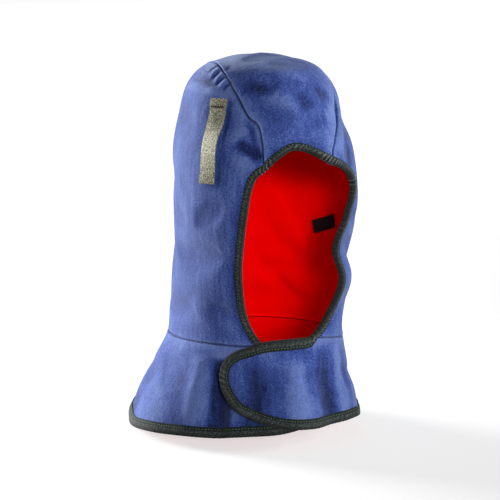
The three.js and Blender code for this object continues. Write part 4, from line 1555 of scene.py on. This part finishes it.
def cloth_material(name, colours, wear_and_shade, grain, weave, sheen):
    """A worn cloth from one row of the table, with painted shade and highlight from its relief.
    Faces marked as a back are painted dark as shade.
    """
    material, tree, shader = new_material(name)
    place = own_place(tree)
    flat = add_node(tree, "UVMap").outputs["UV"]
    # The relief number paints shade in valleys and highlight on ridges
    relief_shading = add_node(tree, "Attribute", attribute_name="relief_shading").outputs["Fac"]
    mottle, streak, ridge = wear_and_shade
    worn = use_group(tree, DYE_WEAR_AND_SHADE, Place=place, Fold=relief_shading, Mottle=mottle, Streak=streak, Ridge=ridge)
    grains = use_group(tree, GRAIN, Place=place, Scale=grain[0], Amount=grain[1])
    tone = calc(tree, "ADD", worn["Tone"], grains["Tone"])
    ramp = add_node(tree, "ValToRGB")
    feed(tree, ramp.inputs["Fac"], tone)
    deep, middle, faded = colours
    ramp.color_ramp.elements[0].color = (*deep, 1)
    ramp.color_ramp.elements[1].color = (*faded, 1)
    ramp.color_ramp.elements.new(MIDDLE_TONE).color = (*middle, 1)
    # Painted shade: faces marked as a back are darkened, black where fully in shade
    back = add_node(tree, "Attribute", attribute_name="back").outputs["Fac"]
    shown = add_node(tree, "VectorMath", operation="SCALE")
    feed(tree, shown.inputs[0], ramp.outputs["Color"])
    feed(tree, shown.inputs["Scale"], calc(tree, "SUBTRACT", 1.0, back))
    feed(tree, shader["Base Color"], shown.outputs[0])
    ribs, slant, height = weave
    woven = use_group(tree, WEAVE, Flat=flat, Ribs=ribs, Slant=slant)
    add_bump(tree, shader, calc(tree, "ADD", woven["Height"], grains["Tone"]), height)
    shader["Sheen Weight"].default_value, shader["Sheen Roughness"].default_value = sheen[:2]
    shader["Sheen Tint"].default_value = sheen[2]
    shader["Specular IOR Level"].default_value = LOW_SPECULAR if sheen[0] else 0
    return material


MATERIALS = {name: cloth_material(name, **look) for name, look in CLOTHS.items()}
print("cloths:", ", ".join(MATERIALS))

# %% [markdown]
# Thread is one plain colour with a twisted grain. Hook tape is a black strip whose fine hooks are a bump
# of small cells, turned inside out so that each cell stands up.

# %% Thread and hook tape materials
THREADS = {"green thread": (0.11, 0.22, 0.14, 1), "black thread": (0.008, 0.008, 0.009, 1)}
TWIST_SCALE = 2500
TWIST_BUMP = 0.1
HOOK_COLOUR = (0.006, 0.006, 0.009, 1)
HOOKS_PER_METRE = 700
HOOK_BUMP = 0.5


def thread_material(name, colour):
    material, tree, shader = new_material(name)
    shader["Base Color"].default_value = colour
    twist = use_group(tree, GRAIN, Place=own_place(tree), Scale=TWIST_SCALE, Amount=1.0)
    add_bump(tree, shader, twist["Tone"], TWIST_BUMP)
    return material


def hook_material():
    material, tree, shader = new_material("hook tape")
    shader["Base Color"].default_value = HOOK_COLOUR
    hooks = add_node(tree, "TexVoronoi")
    feed(tree, hooks.inputs["Vector"], own_place(tree))
    hooks.inputs["Scale"].default_value = HOOKS_PER_METRE
    add_bump(tree, shader, hooks.outputs["Distance"], HOOK_BUMP, invert=True)
    return material


MATERIALS.update({name: thread_material(name, colour) for name, colour in THREADS.items()})
MATERIALS["hook tape"] = hook_material()
print("materials:", len(MATERIALS))

# %% [markdown]
# Every piece rides on the one body and takes its material, and the solid it stands for is hidden. The
# size that each sheet was cut from is printed. A panel's flat size is measured on the plain form, before
# folds.

DRESSING = [
    ("edge_tape", "binding tape", "binding_tape", "edge_binding"),
    ("edge_stitches", "green thread", "binding_tape", None),
    ("webbing_right", "heather webbing", "webbing", "strap_right"),
    ("webbing_left", "heather webbing", "webbing", "strap_left"),
    ("bar_tack_right", "black thread", "webbing", None),
    ("bar_tack_left", "black thread", "webbing", None),
    ("hook_patch", "hook tape", "hook_tape", "mouthpiece_patch"),
    ("closure_strip", "hook tape", "hook_tape", "closure_tape"),
]
for panel, cloth, shell, fleece, lining in SHEETS:
    DRESSING.append((cloth, "navy twill", "shell_twill", shell))
    DRESSING.append((fleece, "red fleece", "lining_fleece", lining))
for piece, material, slot, node in DRESSING:
    PIECES[piece].data.materials.clear()
    PIECES[piece].data.materials.append(MATERIALS[material])
    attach(PIECES[piece], "root")
    if node:
        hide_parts(node)


def flat_size(name):
    """Longest row and column of a panel on the plain form, and its area, in metres."""
    p = lay_out(name, DRAPE_STEP, is_plain=True)["point"] * MM
    a, b = p[1:, 1:] - p[:-1, :-1], p[1:, :-1] - p[:-1, 1:]
    area = np.linalg.norm(np.cross(a, b), axis=-1).sum() / 2
    return float(along_rows(p).max()), float(along_columns(p).max()), float(area)


for panel, cloth, _, fleece, _ in SHEETS:
    across, up, area = flat_size(panel)
    print(panel, "is cut from", round(across, 3), "by", round(up, 3), "m, area", round(area, 4))
# Round its nose the tape needs this much more than the layers are thick
TAPE_TURN = 4
TAPE_WIDTH = 2 * TAPE_DEPTH + STACK + TAPE_TURN
strap_length = float(np.linalg.norm(np.subtract(STRAP_TOP, STRAP_BOTTOM))) + 2 * STRAP_TURN
closure_length = math.radians(CLOSURE_ANGLES[1] - CLOSURE_ANGLES[0]) * section_at(CLOSURE_HEIGHTS[0])[1]
# Columns: piece, width and length in millimetres, how it is held, what it rests on
STRIPS = [
    ("edge_tape", TAPE_WIDTH, EDGE_LENGTH, "folded", ["bib_cloth", "crown_cloth"]),
    ("webbing_right", STRAP_WIDTH, strap_length, "laid", ["side_cloth_right"]),
    ("webbing_left", STRAP_WIDTH, strap_length, "laid", ["side_cloth_left"]),
    ("hook_patch", PATCH_HEIGHT, PATCH_LENGTH, "laid", ["side_fleece_left"]),
    ("closure_strip", CLOSURE_HEIGHTS[1] - CLOSURE_HEIGHTS[0], closure_length, "laid", ["bib_cloth"]),
]
for piece, width, length, held, under in STRIPS:
    print(piece, "is cut from", round(width, 1), "by", round(length), "mm")

# %% [markdown]
# The picture: a large soft light behind the hood's right side, and a narrower one in front of its left
# side that is aimed at the crown, so that both outlines are bright and the cloth between them falls into
# shade. A narrow beam reaches into the face opening, and a last light whitens the floor far behind. Part
# of the floor's white is its own glow, and it gives no light back to the cloth, as black flags would see
# to in a studio. The camera stands a little to the wearer's right, slightly above, and far back.

# %% Stage, lights and camera
CAMERA_AZIMUTH = math.radians(-25)
CAMERA_ELEVATION = math.radians(9.5)
CAMERA_DISTANCE = 2.6
METRES_PER_PIXEL = 0.00105
IMAGE_PIXELS = 500
# The middle of the liner and the pixel it falls on
TARGET = Vector((0, 0, -0.19))
TARGET_PIXEL = (265, 238)
SENSOR = 36
WHITE = (1, 1, 1, 1)
FLOOR_DROP = 0.001
FLOOR_SIZE = 40
FLOOR_GREY = (0.42, 0.42, 0.42, 1)
FLOOR_GLOW = 0.62
WORLD_STRENGTH = 0.125
# Columns: place in metres, what it shines at, size in metres, spread in degrees, power in watts
LIGHTS = [
    ((-1.0, 1.75, -0.02), TARGET, 0.7, 180, 125),
    ((1.75, -0.8, 0.45), Vector((0, 0, -0.05)), 0.9, 40, 3.7),
    ((-0.5, -2.0, 0.3), Vector((0, -0.08, -0.215)), 0.5, 16, 0.60),
    ((2.0, 4.2, 2.6), Vector((2.0, 4.2, -0.4)), 6.0, 70, 105),
]


def add_camera():
    """The camera, shifted so that the liner's middle falls on its pixel."""
    turn, rise = CAMERA_AZIMUTH, CAMERA_ELEVATION
    back = Vector((math.sin(turn) * math.cos(rise), -math.cos(turn) * math.cos(rise), math.sin(rise)))
    right = Vector((math.cos(turn), math.sin(turn), 0))
    aside = (TARGET_PIXEL[0] - IMAGE_PIXELS / 2) * METRES_PER_PIXEL
    above = (IMAGE_PIXELS / 2 - TARGET_PIXEL[1]) * METRES_PER_PIXEL
    aim = TARGET - right * aside - back.cross(right) * above
    turned = back.to_track_quat("Z", "Y").to_euler()
    bpy.ops.object.camera_add(location=aim + back * CAMERA_DISTANCE, rotation=turned)
    camera = bpy.context.object
    camera.data.sensor_width = SENSOR
    camera.data.lens = SENSOR * CAMERA_DISTANCE / (METRES_PER_PIXEL * IMAGE_PIXELS)
    bpy.context.scene.camera = camera


def add_light(place, aim, size, spread, power):
    turned = (Vector(place) - aim).to_track_quat("Z", "Y").to_euler()
    bpy.ops.object.light_add(type="AREA", location=place, rotation=turned)
    light = bpy.context.object.data
    light.size = size
    light.spread = math.radians(spread)
    light.energy = power


def add_stage():
    low = cad_box[0][2] - FLOOR_DROP
    bpy.ops.mesh.primitive_plane_add(size=FLOOR_SIZE, location=(0, 0, low))
    floor = bpy.context.object
    floor.name = "floor"
    material, _, shader = new_material("pale floor")
    shader["Base Color"].default_value = FLOOR_GREY
    shader["Emission Color"].default_value = WHITE
    shader["Emission Strength"].default_value = FLOOR_GLOW
    floor.data.materials.append(material)
    floor.visible_diffuse = False
    world = bpy.data.worlds.new("studio")
    world.use_nodes = True
    sky = world.node_tree.nodes["Background"].inputs
    sky["Color"].default_value = WHITE
    sky["Strength"].default_value = WORLD_STRENGTH
    bpy.context.scene.world = world
    bpy.context.scene.view_settings.view_transform = "Standard"


add_stage()
for row in LIGHTS:
    add_light(*row)
add_camera()
print("lights:", len(LIGHTS), "with the camera", CAMERA_DISTANCE, "m away")
